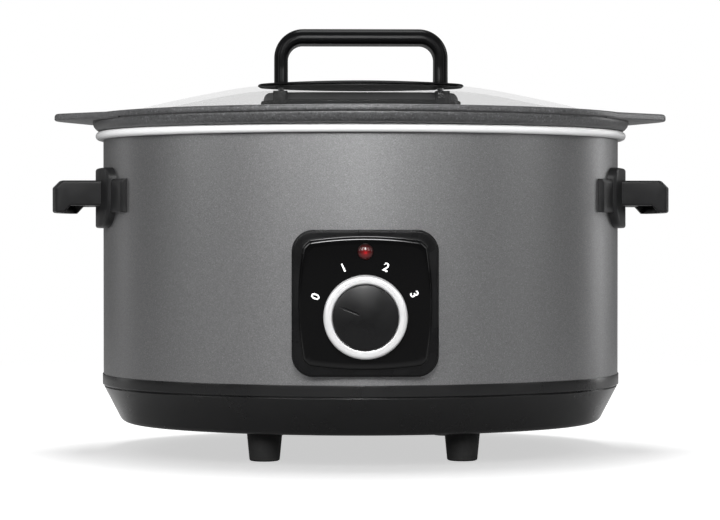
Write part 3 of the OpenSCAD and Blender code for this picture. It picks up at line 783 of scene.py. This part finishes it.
for f in (0.93, 0.8, 0.6):
    loops.append(panel_loop(last * f, FACE))
panel = loft("control_panel_moulding", loops, cap0=True, cap1=True, sharp=50)
stands_for(panel, "control_panel", PANEL)
panel.data.materials.append(FIELD)
for f in panel.data.polygons:
    c = f.center * 1000
    if -c.y > 138.8:
        rr, ph = math.hypot(c.x, c.z - PZ), math.atan2(c.z - PZ, c.x)
        if rr < float(polar_field(np.array([ph]), -0.45)[0]):
            f.material_index = 1

ll, lh = mm("indicator_lens")
lens_top = -ll[1]
lens = [(0.0, lens_top)] + [(4.7 * math.sin(math.radians(a)), 142 + (lens_top - 142) * math.cos(math.radians(a))) for a in range(8, 90, 8)] + [(4.7, 142), (4.7, 141.65), (4.55, 141.5), (3.6, 141.4), (3.6, 131.2), (3.4, 131), (0.0, 131)]
stands_for(lathe("indicator_lens_moulding", lens, (0, 0, LZ), "-y", 64), "indicator_lens")

# ---------------------------------------------------------------- knob
cap_r, ring_r = 19.35, mm("knob_ring")[1][0]
cap_top = -mm("knob_cap")[0][1]
dome = [(r, cap_top - 1.7 * (r / 18.45) ** 2) for r in np.linspace(0, 17.9, 15)]
cap_prof = [(0.0, cap_top)] + dome[1:] + fillet([(17.9, dome[-1][1]), (cap_r, 149.25), (cap_r, 142.4)], [0, 0.9, 0], 6, closed=False)[1:-1] + [(cap_r, 142.6), (cap_r - 0.2, 142.4), (9.4, 142.4), (9.4, 144.9), (0.0, 144.9)]
cap = lathe("knob_cap_moulding", cap_prof, (0, 0, KZ), "-y", 128)
ang = math.radians(157.5)


def slot_cutter(name, r0, r1, half, low, high, seg=8):
    pts = []
    for cx, a0 in ((r1 - half, -90), (r0 + half, 90)):
        for k in range(seg + 1):
            a = math.radians(a0 + 180 * k / seg)
            pts.append((cx + half * math.cos(a), half * math.sin(a)))
    loops = []
    for f, w in ((1.0, high), (1.0, high - 1.0), (0.72, low)):
        l = []
        for x, y in pts:
            cx = r1 - half if x > (r0 + r1) / 2 else r0 + half
            x2, y2 = cx + (x - cx) * f, y * f
            l.append((x2 * math.cos(ang) - y2 * math.sin(ang), -w, KZ + x2 * math.sin(ang) + y2 * math.cos(ang)))
        loops.append(l)
    return loft(name, loops, cap0=True, cap1=True)


cut(cap, [slot_cutter("groove", 4.2, 17.5, 0.85, 149.9, 153.0)])
bevel(cap, 0.16, 2, 40)
stands_for(cap, "knob_cap", KNOB)
ring_prof = [(cap_r, 142.3), (cap_r + 0.15, 142.2), (ring_r - 0.5, 142.2), (ring_r - 0.12, 142.4), (ring_r, 142.8)] + arc(ring_r - 2.4, 145, 2.4, 0, 90, 14) + [(22.2, 147.4), (21.4, 147.4)] + arc(cap_r + 1.2, 146.2, 1.2, 90, 180, 8)
stands_for(lathe("knob_ring_turned", ring_prof, (0, 0, KZ), "-y", 144), "knob_ring", RING)


# Plain numbers round the dial, one at each position of the switch.
def number(text, a, r=31.6, size=7.0):
    cu = bpy.data.curves.new("n" + text, "FONT")
    cu.body = text
    cu.size = size * 0.001
    cu.align_x = "CENTER"
    cu.align_y = "CENTER"
    cu.extrude = 0.00006
    cu.offset = 0.00014
    cu.resolution_u = 8
    o = bpy.data.objects.new("t" + text, cu)
    bpy.context.scene.collection.objects.link(o)
    t = math.radians(a)
    o.matrix_world = (Matrix.Translation((r * 0.001 * math.cos(t), -(FACE + 0.06) * 0.001, (KZ + r * math.sin(t)) * 0.001))
                      @ Matrix.Rotation(-(t - math.pi / 2), 4, "Y") @ Matrix.Rotation(math.pi / 2, 4, "X"))
    dg = bpy.context.evaluated_depsgraph_get()
    dg.update()
    me = bpy.data.meshes.new_from_object(o.evaluated_get(dg))
    me.transform(o.matrix_world)
    bpy.data.objects.remove(o, do_unlink=True)
    m = bpy.data.objects.new("num" + text, me)
    bpy.context.scene.collection.objects.link(m)
    return m


digits = [number(str(i), a) for i, a in enumerate((157.5, 114.0, 67.5, 25.0))]
belongs(join("dial_numbers", digits), "control_panel", INK)

# ---------------------------------------------------------------- side handles
RE = BODY.at([0], 0)[0][0] - 49.5
CX = 49.5


def on_wrap(d, y):
    """X of a point at offset d over the wrap's end, at a distance y from the middle."""
    return CX + np.sqrt(np.maximum((117.5 + d) ** 2 - np.asarray(y, float) ** 2, 1.0))


def inset_profile(p, k):
    """Moves a convex-ish closed outline inward by k."""
    c = np.mean(np.array(p), 0)
    out = []
    n = len(p)
    for i in range(n):
        a, b, q = np.array(p[i - 1]), np.array(p[(i + 1) % n]), np.array(p[i])
        t = b - a
        t = t / (np.linalg.norm(t) + 1e-9)
        nrm = np.array([t[1], -t[0]])
        if nrm @ (q - c) < 0:
            nrm = -nrm
        out.append(tuple(q - nrm * k))
    return out


def across(name, prof, half, r, stations=25, lo_d=None):
    """A bar with this (offset, height) section that follows the wrap's end from -half to half, with round ends."""
    ys = [(-half + r * (1 - math.cos(a)), r * (1 - math.sin(a))) for a in np.linspace(0, math.pi / 2, 5)]
    ys += [(y, 0.0) for y in np.linspace(-half + r, half - r, stations)[1:-1]]
    ys += [(-y, k) for y, k in ys[4::-1]]
    loops = []
    for y, k in ys:
        q = inset_profile(prof, k) if k > 1e-6 else prof
        loops.append([(float(on_wrap(d, y)), y, z) for d, z in q])
    return loft(name, loops, cap0=True, cap1=True, sharp=45)


grip = fillet([(-0.4, 157), (23, 157), (27, 152.5), (32.5, 152.5), (32.5, 168.5), (28, 173), (-0.4, 173)],
              [0, 0.8, 0.8, 1.5, 1.6, 1.8, 0], 5)
grip_o = across("grip", grip, 40, 1.6, 33)
recess = fillet([(13, 146), (25.0, 146), (28.6, 157), (28.6, 165), (26, 169.6), (13, 169.6)], [0, 0, 1, 1.5, 1.5, 1.5], 4)
cut(grip_o, [across("recess", recess, 36.5, 1.6, 25)])
bevel(grip_o, 0.45, 3, 48)
base_b = fillet([(-0.4, 152.5), (3, 152.5), (3, 171.5), (2, 173.5), (-0.4, 173.5)], [0, 0.8, 0.8, 0.6, 0], 4)
block_o = across("block", base_b, 66, 0.9, 41)

shield_pts = []
for cx, cz, r, a0, a1 in ((45, 173, 8, 0, 90), (-45, 173, 8, 90, 180), (-37, 158.8, 16, 180, 270), (37, 158.8, 16, 270, 360)):
    shield_pts += arc(cx, cz, r, a0, a1, 14)
shield_pts = spread(shield_pts, 4)
SC = np.array([0.0, 163.0])


def shield_loop(d, inset, scale=None):
    p = np.array(inset_profile(shield_pts, inset)) if inset > 1e-6 else np.array(shield_pts)
    if scale is not None:
        p = SC + (p - SC) * scale
    return np.column_stack([on_wrap(d, p[:, 0]), p[:, 0], p[:, 1]])


loops = [shield_loop(-0.4, 0, 0.3), shield_loop(-0.4, 0, 0.7), shield_loop(-0.4, 0), shield_loop(1.8, 0), shield_loop(3.4, 0)]
for t in np.linspace(15, 90, 6):
    a = math.radians(t)
    loops.append(shield_loop(3.4 + 1.6 * math.sin(a), 1.7 * (1 - math.cos(a))))
for f in (0.9, 0.75, 0.6, 0.45, 0.3, 0.15):
    loops.append(shield_loop(5.0, 1.7, f))
shield_o = loft("shield", loops, cap0=True, cap1=True, sharp=50)
cut(block_o, [shield_o], "UNION")
cut(block_o, [grip_o], "UNION")
block_o.data.shade_smooth()
block_o.data.set_sharp_from_angle(angle=math.radians(38))
block_o.name = "right_handle_moulding"
left = mirrored("left_handle_moulding", block_o)
stands_for(block_o, "right_handle")
stands_for(left, "left_handle")

# ---------------------------------------------------------------- pot
POT_TOP = 215.4
sec = fillet(
    [(90.5, 51), (102.5, 51), (107, 204.65), (140.0, 204.65)], [0, 12, 0.8, 0], 14, closed=False)
sec += [(141.6, 205.15), (143.2, 206.3), (144.5, 207.9), (145.1, 209.4), (145.25, 210.5), (145.1, 211.15)]
sec += fillet([(145.1, 211.15), (145.3, 211.5), (147.0, 211.75), (147.0, 215.4), (143, 215.4)], [0, 0.2, 1.2, 1.7, 0], 7, closed=False)[1:-1]
sec += fillet([(143, 215.4), (126.4, 215.4), (126.4, 211.4), (118, 211.4), (104.2, 205), (99.7, 53.8), (90.5, 53.8)],
              [0, 0.7, 0.8, 3.0, 4.0, 9.2, 0], 8, closed=False)[1:]
sec = [(40, 51), (65, 51)] + sec + [(65, 53.8), (40, 53.8)]
dense = []
for i, p in enumerate(sec):
    dense.append(p)
    if i + 1 < len(sec):
        q = sec[i + 1]
        k = int(math.hypot(q[0] - p[0], q[1] - p[1]) // 9)
        dense += [(p[0] + (q[0] - p[0]) * j / (k + 1), p[1] + (q[1] - p[1]) * j / (k + 1)) for j in range(1, k + 1)]
loops = []
for y, z in dense:
    w = min(1.0, max(0.0, (y - 126.5) / 4.5))
    if z < 209:
        w = min(1.0, max(0.0, (y - 109.0) / 29.0))
        w = w * w * (3 - 2 * w)
    pb, pr = BODY.at(THETA, y - BODY.b), RIM.at(THETA, y - RIM.b)
    p = pb * (1 - w) + pr * w
    loops.append(np.column_stack([p, np.full(len(p), z)]))
pot = loft("cooking_pot_casting", loops, cap0=True, cap1=True, sharp=50)

tip_x, er = 199.0, 24.0
nose_x = tip_x - er
re = 132.75
ca = (re - er) / (nose_x - 42.75)
ca = max(-1, min(1, ca))
na = math.acos(ca)
ear_pts = [(158.0, -70.0)] + [(42.75 + (re - 1) * math.cos(na), -(re - 1) * math.sin(na))]
nose = [(nose_x + er * math.cos(a), er * math.sin(a)) for a in np.linspace(-na, na, 41)]
ear_pts = [(158.0, -(re - 1) * math.sin(na))] + ear_pts[1:] + nose + [(42.75 + (re - 1) * math.cos(na), (re - 1) * math.sin(na)), (158.0, (re - 1) * math.sin(na))]


def resample(pts, n):
    p = np.array(pts, float)
    d = np.concatenate([[0], np.cumsum(np.linalg.norm(np.diff(p, axis=0), axis=1))])
    s = np.linspace(0, d[-1], n)
    return np.column_stack([np.interp(s, d, p[:, 0]), np.interp(s, d, p[:, 1])])


ear_line = resample(ear_pts[1:-1], 81)
ear_n = []
for i in range(len(ear_line)):
    a, b = ear_line[max(i - 1, 0)], ear_line[min(i + 1, len(ear_line) - 1)]
    t = (b - a) / np.linalg.norm(b - a)
    ear_n.append((t[1], -t[0]))
ear_n = np.array(ear_n)
tilt = math.radians(2.2)
sect = [(30.0, -4.6)] + [(k, z) for k, z in fillet([(30, -4.6), (0.0, -4.6), (0.0, 0.0), (30, 0)], [0, 1.3, 1.9, 0], 6, closed=False)[1:-1]] + [(30.0, 0.0)]
loops = []
phi_root = np.linspace(-na, na, len(ear_line))
for k, z in sect:
    if k >= 20:
        loops.append(np.column_stack([42.75 + 126 * np.cos(phi_root), 126 * np.sin(phi_root), np.full(len(ear_line), POT_TOP - 0.35 + z * 0.86)]))
        continue
    p = ear_line - ear_n * k
    dx = p[:, 0] - 160.0
    rise = np.where(dx > 0, dx, 0) * math.sin(tilt)
    loops.append(np.column_stack([160 + dx * math.cos(tilt) - z * math.sin(tilt), p[:, 1], POT_TOP + rise + z * math.cos(tilt)]))
n = len(loops[0])
verts = np.concatenate(loops)
faces = []
for i in range(len(loops)):
    a, b = i * n, ((i + 1) % len(loops)) * n
    for j in range(n - 1):
        faces.append((a + j, a + j + 1, b + j + 1, b + j))
faces.append(tuple(i * n for i in range(len(loops))))
faces.append(tuple(i * n + n - 1 for i in range(len(loops)))[::-1])
ear_r = mesh_object("ear", verts, faces, 50)
ear_l = mirrored("ear2", ear_r)
cut(pot, [ear_r, ear_l], "UNION")
pot.data.shade_smooth()
pot.data.set_sharp_from_angle(angle=math.radians(42))
stands_for(pot, "cooking_pot")

# ---------------------------------------------------------------- lid
GT = 234.2
up = [(-9, 215.2), (-12.2, 215.9), (-22, 219.0), (-33, 222.0), (-45, 224.8), (-57, 227.4), (-68, 229.8), (-78, 231.8), (-86, 233.2), (-93, GT)]
down = [(-9, 212), (-12.6, 212), (-22, 215.3), (-33, 218.4), (-45, 221.3), (-57, 223.9), (-68, 226.3), (-78, 228.3), (-86, 229.7), (-93, GT - 3.5)]


def smooth_line(pts, n):
    """A soft curve through the points."""
    p = np.array(pts, float)
    d = np.concatenate([[0], np.cumsum(np.linalg.norm(np.diff(p, axis=0), axis=1))])
    s = np.linspace(0, d[-1], n)
    q = np.column_stack([np.interp(s, d, p[:, 0]), np.interp(s, d, p[:, 1])])
    for _ in range(10):
        q[1:-1] = (q[:-2] + 2 * q[1:-1] + q[2:]) / 4
    return [tuple(x) for x in q]


glass = [(-110, GT - 3.5)] + smooth_line(down, 40)[::-1][0:-1] + arc(-9.8, 212.8, 0.8, -90, 0, 4) + arc(-9.8, 214.4, 0.8, 0, 80, 4) + smooth_line(up, 40)[1:] + [(-110, GT)]
stands_for(oval_disc("lid_glass_pressing", glass), "lid_glass")

band = fillet([(-8.2, 211.4), (-8.2, 215.4), (-8.8, 216), (-12.2, 216.7), (-12.2, 215.9), (-9, 215.2), (-9, 212), (-12.2, 212), (-12.2, 211.4)],
              [0.5, 0.8, 0.6, 0.35, 0.2, 0.3, 0.2, 0.2, 0.2], 4)
stands_for(oval_ring("lid_rim_band_rolled", band), "lid_rim_band")

PT = mm("lid_handle_plate")[1][2]
PB = mm("lid_handle_plate")[0][2]


def plate_outline(inset):
    """The handle plate's plan: a slim superellipse of the plate's size, moved inward by inset."""
    p = BODY.at(THETA, -100)
    lo_, hi_ = mm("lid_handle_plate")
    a, b = hi_[0], hi_[1]
    t = np.linspace(0, 2 * math.pi, 256, endpoint=False)
    e = 2.35
    x = a * np.sign(np.cos(t)) * np.abs(np.cos(t)) ** (2 / e)
    y = b * np.sign(np.sin(t)) * np.abs(np.sin(t)) ** (2 / e)
    q = np.column_stack([x, y])
    dx = np.roll(q, -1, 0) - np.roll(q, 1, 0)
    nrm = np.column_stack([dx[:, 1], -dx[:, 0]])
    nrm /= np.linalg.norm(nrm, axis=1)[:, None] + 1e-9
    return q - nrm * inset


def plate_height(x, y):
    return PT - x * x / 1900 - y * y / 470


loops = []
for f in (0.4, 0.75, 0.97):
    q = plate_outline(0) * f
    loops.append(np.column_stack([q, np.full(len(q), PB)]))
for k, z in ((0.3, PB), (0.05, PB + 0.12), (0.0, PB + 0.35)):
    q = plate_outline(k)
    loops.append(np.column_stack([q, np.full(len(q), z)]))
q0 = plate_outline(0)
top0 = plate_height(q0[:, 0], q0[:, 1])
for t in np.linspace(0, 90, 8):
    a = math.radians(t)
    q = plate_outline(1.4 * (1 - math.cos(a)))
    z = np.maximum(plate_height(q[:, 0], q[:, 1]) - 1.2 * (1 - math.sin(a)), PB + 0.4 + 0.2 * t / 90)
    loops.append(np.column_stack([q, z]))
for f in (0.95, 0.88, 0.8, 0.7, 0.6, 0.5, 0.4, 0.3, 0.2, 0.1, 0.03):
    q = plate_outline(1.4) * f
    loops.append(np.column_stack([q, plate_height(q[:, 0], q[:, 1])]))
plate = loft("lid_handle_plate_moulding", loops, cap0=True, cap1=True, sharp=50)
stands_for(plate, "lid_handle_plate", HANDLE)

# The retainer below the glass: a lipped pad, domed at its ends, with a boss under each leg.
RL, RH = mm("handle_retainer")


def retainer_outline(a, b):
    t = np.linspace(0, 2 * math.pi, 192, endpoint=False)
    e = 3.2
    return np.column_stack([a * np.sign(np.cos(t)) * np.abs(np.cos(t)) ** (2 / e), b * np.sign(np.sin(t)) * np.abs(np.sin(t)) ** (2 / e)])


def at_z(q, z):
    return np.column_stack([q, np.full(len(q), z)])


ra, rb = RH[0], RH[1]
loops = [at_z(retainer_outline(ra - 0.4, rb - 0.4), RL[2]), at_z(retainer_outline(ra - 0.1, rb - 0.1), RL[2] + 0.12), at_z(retainer_outline(ra, rb), RL[2] + 0.4)]
for a in range(0, 91, 15):
    k = 1.0 - math.cos(math.radians(a))
    loops.append(at_z(retainer_outline(ra - k, rb - 1.0 * k), 224.1 + 1.0 * math.sin(math.radians(a))))
loops.append(at_z(retainer_outline(ra - 1.5, rb - 1.5), 225.12))
loops.append(at_z(retainer_outline(ra - 1.7, rb - 1.7), 225.3))
for s_ in (0.12, 0.25, 0.38, 0.5, 0.62, 0.74, 0.85, 0.93, 0.98, 1.0):
    loops.append(at_z(retainer_outline(ra - 1.7 - 4.0 * (1 - math.sqrt(1 - s_ * s_)), rb - 1.7 - (rb - 14.7) * s_), 225.3 + (RH[2] - 225.3) * s_))
pad = loft("retainer_pad", loops, cap0=True, cap1=True, sharp=40)
bosses = []
for sx in (-52, 52):
    plan = fillet([(sx - 4.6, -28), (sx + 4.6, -28), (sx + 4.6, 28), (sx - 4.6, 28)], 1.4, 5)
    plan = np.array(plan, float)
    mid = plan.mean(0)
    bl = [at_z(plan, 222.6), at_z(plan, RH[2] - 0.7)]
    for a in (30, 60, 90):
        k = 1 - 0.7 * (1 - math.cos(math.radians(a))) / np.linalg.norm(plan - mid, axis=1)[:, None]
        bl.append(at_z(mid + (plan - mid) * k, RH[2] - 0.7 + 0.7 * math.sin(math.radians(a)) - 0.01))
    bosses.append(loft(f"boss{sx}", bl, cap0=True, cap1=True, sharp=40))
cut(pad, bosses, "UNION")
cut(pad, [lathe(f"sink{sx}", [(0, 215), (5, 215), (5, 224.6), (2.2, 224.6), (2.2, 240), (0, 240)], (sx, 0, 0), n=48) for sx in (-52, 52)])
stands_for(pad, "handle_retainer", HANDLE)
# The sloping faces between the lip and the top, away from the bosses, get a lighter grey satin. This is a painted sheen
# that stands in for the pale reflection a glossy black slope shows there.
pad.data.materials.append(m_satin("retainer_satin_m", (0.030, 0.030, 0.031), (0.34, 0.44), 1500, 0.15, 0.30))
for f in pad.data.polygons:
    c = f.center * 1000
    f.material_index = 1 if (225.2 < c.z < 230.6 and abs(abs(c.x) - 52) > 4.7) else 0

# The arch: one soft-edged section carried along its legs and bar.
AH, AT = mm("lid_handle")[1][0], mm("lid_handle")[1][2]
AB = mm("lid_handle")[0][2]


def arch_path():
    """Centre line with the section's thickness and half width at each point: (x, z, angle of the outward normal, thickness, half width)."""
    rows = []
    for z in np.linspace(AB, 246, 9):
        w = 14 if z < 238 else 14 - (z - 238) / 8
        rows.append((AH, z, 0.0, 8.8, w))
    for z in np.linspace(248, AT - 21, 4)[:-1]:
        rows.append((AH, z, 0.0, 8.8, 13))
    for a in np.linspace(0, 90, 17):
        rows.append((AH - 19 + 19 * math.cos(math.radians(a)), AT - 19 + 19 * math.sin(math.radians(a)) if a > 0 else AT - 19, a, 8.8 + 1.2 * a / 90, 13))
    for x in np.linspace(AH - 19, 0, 10)[1:]:
        rows.append((x, AT, 90.0, 10.0, 13))
    left = [(-x, z, 180 - a, t, w) for x, z, a, t, w in rows[:-1][::-1]]
    return rows + left


def section(th, hw):
    """Closed outline: u from the outer face (0) inward to th, v across. The outer corners are broad rounds and the inner ones tighter."""
    k = th / 10.0
    ro, ri = 6.3 * k, 3.2 * k
    out = []
    for cu, cv, r, a0 in ((ro, hw - ro, ro, 0), (th - ri, hw - ri, ri, 90), (th - ri, -hw + ri, ri, 180), (ro, -hw + ro, ro, 270)):
        for i in range(10):
            t = math.radians(a0 + 90 * i / 9)
            out.append((cu - r * math.cos(t), cv + r * math.sin(t)))
    return out


loops = []
for x, z, a, th, hw in arch_path():
    c, s = math.cos(math.radians(a)), math.sin(math.radians(a))
    crown = 0.35
    l = []
    for u, v in section(th, hw):
        bow = crown * (v / hw) ** 2 * (1 - u / th)
        l.append((x - (u + bow) * c, v, z - (u + bow) * s))
    loops.append(l)
arch = loft("lid_handle_arch", loops, cap0=True, cap1=True, sharp=50)
stands_for(arch, "lid_handle", HANDLE)

# ---------------------------------------------------------------- carried-over pieces with softened edges
for n in ("bottom_cover", "cord_gland", "handle_gasket"):
    o = NODES[n]
    w = o.modifiers.new("weld", "WELD")
    w.merge_threshold = 2e-6
    b = o.modifiers.new("edge", "BEVEL")
    b.width, b.segments, b.limit_method, b.angle_limit = 0.00025, 2, "ANGLE", math.radians(50)
    b.use_clamp_overlap = True

# ---------------------------------------------------------------- studio
FLOOR_GLOW = 0.58
floor_me = bpy.data.meshes.new("studio_floor")
bm = bmesh.new()
bmesh.ops.create_circle(bm, cap_ends=True, radius=30.0, segments=96)
bm.to_mesh(floor_me)
bm.free()
floor = bpy.data.objects.new("studio_floor", floor_me)
floor.location.z = -0.0001
bpy.context.scene.collection.objects.link(floor)
fm = bpy.data.materials.new("studio_floor_m")
fm.use_nodes = True
ft = fm.node_tree
ft.nodes.clear()
fo = ft.nodes.new("ShaderNodeOutputMaterial")
fd0 = ft.nodes.new("ShaderNodeBsdfDiffuse")
fd0.inputs[0].default_value = (0.95, 0.95, 0.95, 1)
fd1 = ft.nodes.new("ShaderNodeEmission")
fg = ft.nodes.new("ShaderNodeMath")
fg.operation = "MULTIPLY"
fg.inputs[1].default_value = FLOOR_GLOW
fgr = ft.nodes.new("ShaderNodeMapRange")
fgr.inputs[3].default_value, fgr.inputs[4].default_value = 0.35, 1.0
ft.links.new(ft.nodes.new("ShaderNodeLightPath").outputs["Is Camera Ray"], fgr.inputs[0])
ft.links.new(fgr.outputs[0], fg.inputs[0])
ft.links.new(fg.outputs[0], fd1.inputs[1])
fd = ft.nodes.new("ShaderNodeAddShader")
ft.links.new(fd0.outputs[0], fd.inputs[0])
ft.links.new(fd1.outputs[0], fd.inputs[1])
fe = ft.nodes.new("ShaderNodeEmission")
fe.inputs[0].default_value = (1, 1, 1, 1)
fp = ft.nodes.new("ShaderNodeLightPath")
fs = ft.nodes.new("ShaderNodeMapRange")
fs.inputs[3].default_value, fs.inputs[4].default_value = 0.26, 1.0
fq = ft.nodes.new("ShaderNodeMath")
fq.operation = "MAXIMUM"
ft.links.new(fp.outputs["Is Camera Ray"], fq.inputs[0])
ft.links.new(fp.outputs["Is Transmission Ray"], fq.inputs[1])
ft.links.new(fq.outputs[0], fs.inputs[0])
ft.links.new(fs.outputs[0], fe.inputs[1])
fx_ = ft.nodes.new("ShaderNodeMixShader")
fc = ft.nodes.new("ShaderNodeTexCoord")
fl_ = ft.nodes.new("ShaderNodeVectorMath")
fl_.operation = "LENGTH"
fr_ = ft.nodes.new("ShaderNodeMapRange")
fr_.inputs[1].default_value = 0.42
fr_.inputs[2].default_value = 1.0
fr_.interpolation_type = "SMOOTHSTEP"
ft.links.new(fc.outputs["Object"], fl_.inputs[0])
ft.links.new(fl_.outputs["Value"], fr_.inputs[0])
ft.links.new(fr_.outputs[0], fx_.inputs[0])
ft.links.new(fd.outputs[0], fx_.inputs[1])
ft.links.new(fe.outputs[0], fx_.inputs[2])
ft.links.new(fx_.outputs[0], fo.inputs[0])
floor_me.materials.append(fm)

world = bpy.data.worlds.new("studio")
bpy.context.scene.world = world
world.use_nodes = True
wt = world.node_tree
wt.nodes.clear()
wo = wt.nodes.new("ShaderNodeOutputWorld")
lp = wt.nodes.new("ShaderNodeLightPath")
wb = wt.nodes.new("ShaderNodeBackground")
wb.inputs[0].default_value = (1, 1, 1, 1)
wb.inputs[1].default_value = 1.0
wd = wt.nodes.new("ShaderNodeBackground")
wd.inputs[0].default_value = (1, 1, 1, 1)
wg = wt.nodes.new("ShaderNodeTexCoord")
wsep = wt.nodes.new("ShaderNodeSeparateXYZ")
wt.links.new(wg.outputs["Generated"], wsep.inputs[0])
wy = wt.nodes.new("ShaderNodeMapRange")
wy.interpolation_type = "SMOOTHSTEP"
for i_, v_ in ((1, -0.85), (2, 0.25), (3, 0.05), (4, 0.15)):
    wy.inputs[i_].default_value = v_
wz = wt.nodes.new("ShaderNodeMapRange")
for i_, v_ in ((1, 0.1), (2, 1.0), (3, 0.0), (4, 0.16)):
    wz.inputs[i_].default_value = v_
wsum = wt.nodes.new("ShaderNodeMath")
wt.links.new(wsep.outputs["Y"], wy.inputs[0])
wt.links.new(wsep.outputs["Z"], wz.inputs[0])
wt.links.new(wy.outputs[0], wsum.inputs[0])
wt.links.new(wz.outputs[0], wsum.inputs[1])
wt.links.new(wsum.outputs[0], wd.inputs[1])
wm = wt.nodes.new("ShaderNodeMixShader")
wx = wt.nodes.new("ShaderNodeMath")
wx.operation = "MAXIMUM"
wt.links.new(lp.outputs["Is Camera Ray"], wx.inputs[0])
wt.links.new(lp.outputs["Is Transmission Ray"], wx.inputs[1])
wt.links.new(wx.outputs[0], wm.inputs[0])
wt.links.new(wd.outputs[0], wm.inputs[1])
wt.links.new(wb.outputs[0], wm.inputs[2])
wt.links.new(wm.outputs[0], wo.inputs[0])


def area(name, loc, target, sx, sy, power, spread_deg=180):
    li = bpy.data.lights.new(name, "AREA")
    li.shape = "RECTANGLE"
    li.size, li.size_y = sx, sy
    li.energy = power
    li.spread = math.radians(spread_deg)
    o = bpy.data.objects.new(name, li)
    o.location = loc
    d = Vector(target) - Vector(loc)
    o.rotation_mode = "QUATERNION"
    o.rotation_quaternion = d.to_track_quat("-Z", "Y")
    bpy.context.scene.collection.objects.link(o)
    return o


LIGHTS = [
    ("key_front", (0.0, -1.9, 1.05), (0, -0.1, 0.16), 0.36, 0.8, 43),
    ("fill_left", (-0.80, -1.55, 0.95), (0, -0.1, 0.14), 0.5, 0.9, 18.5),
    ("fill_left_wide", (-1.5, -0.8, 0.8), (0, -0.1, 0.14), 0.4, 1.0, 7.5),
    ("fill_right", (0.80, -1.55, 0.85), (0, -0.1, 0.13), 0.5, 0.9, 7.5),
    ("fill_right_wide", (1.5, -0.8, 0.7), (0, -0.1, 0.13), 0.4, 1.0, 5.0),
    ("edge_right", (1.30, 0.60, 0.45), (0.15, 0, 0.12), 0.3, 1.2, 5.5),
    ("edge_left", (-1.35, 0.60, 0.45), (-0.15, 0, 0.12), 0.3, 1.2, 1.8),
    ("top_soft", (0.0, 0.40, 2.4), (0, 0, 0.1), 1.0, 1.1, 34),
]
# Light linking keeps the front and side lights off the floor, so that only the soft top light shades it.
off_floor = bpy.data.collections.new("floor_unlit")
off_floor.objects.link(floor)
off_floor.collection_objects[0].light_linking.link_state = "EXCLUDE"
for name, loc, target, sx, sy, power in LIGHTS:
    li = area(name, loc, target, sx, sy, power)
    if name != "top_soft":
        li.light_linking.receiver_collection = off_floor

# ---------------------------------------------------------------- camera
cam_data = bpy.data.cameras.new("camera")
cam = bpy.data.objects.new("camera", cam_data)
bpy.context.scene.collection.objects.link(cam)
bpy.context.scene.camera = cam
cam_data.sensor_width = 36.0
cam_data.lens = 110.35
cam_data.clip_start, cam_data.clip_end = 0.05, 60
cam_at = Vector((-0.028, -1.44, 0.1384))
yaw = math.atan2(0.0275, 1.44)
pitch = math.radians(0.65)
look = Vector((math.sin(yaw) * math.cos(pitch), math.cos(yaw) * math.cos(pitch), -math.sin(pitch)))
cam.location = cam_at
cam.rotation_mode = "QUATERNION"
cam.rotation_quaternion = look.to_track_quat("-Z", "Y")

bpy.context.scene.view_settings.view_transform = "Standard"
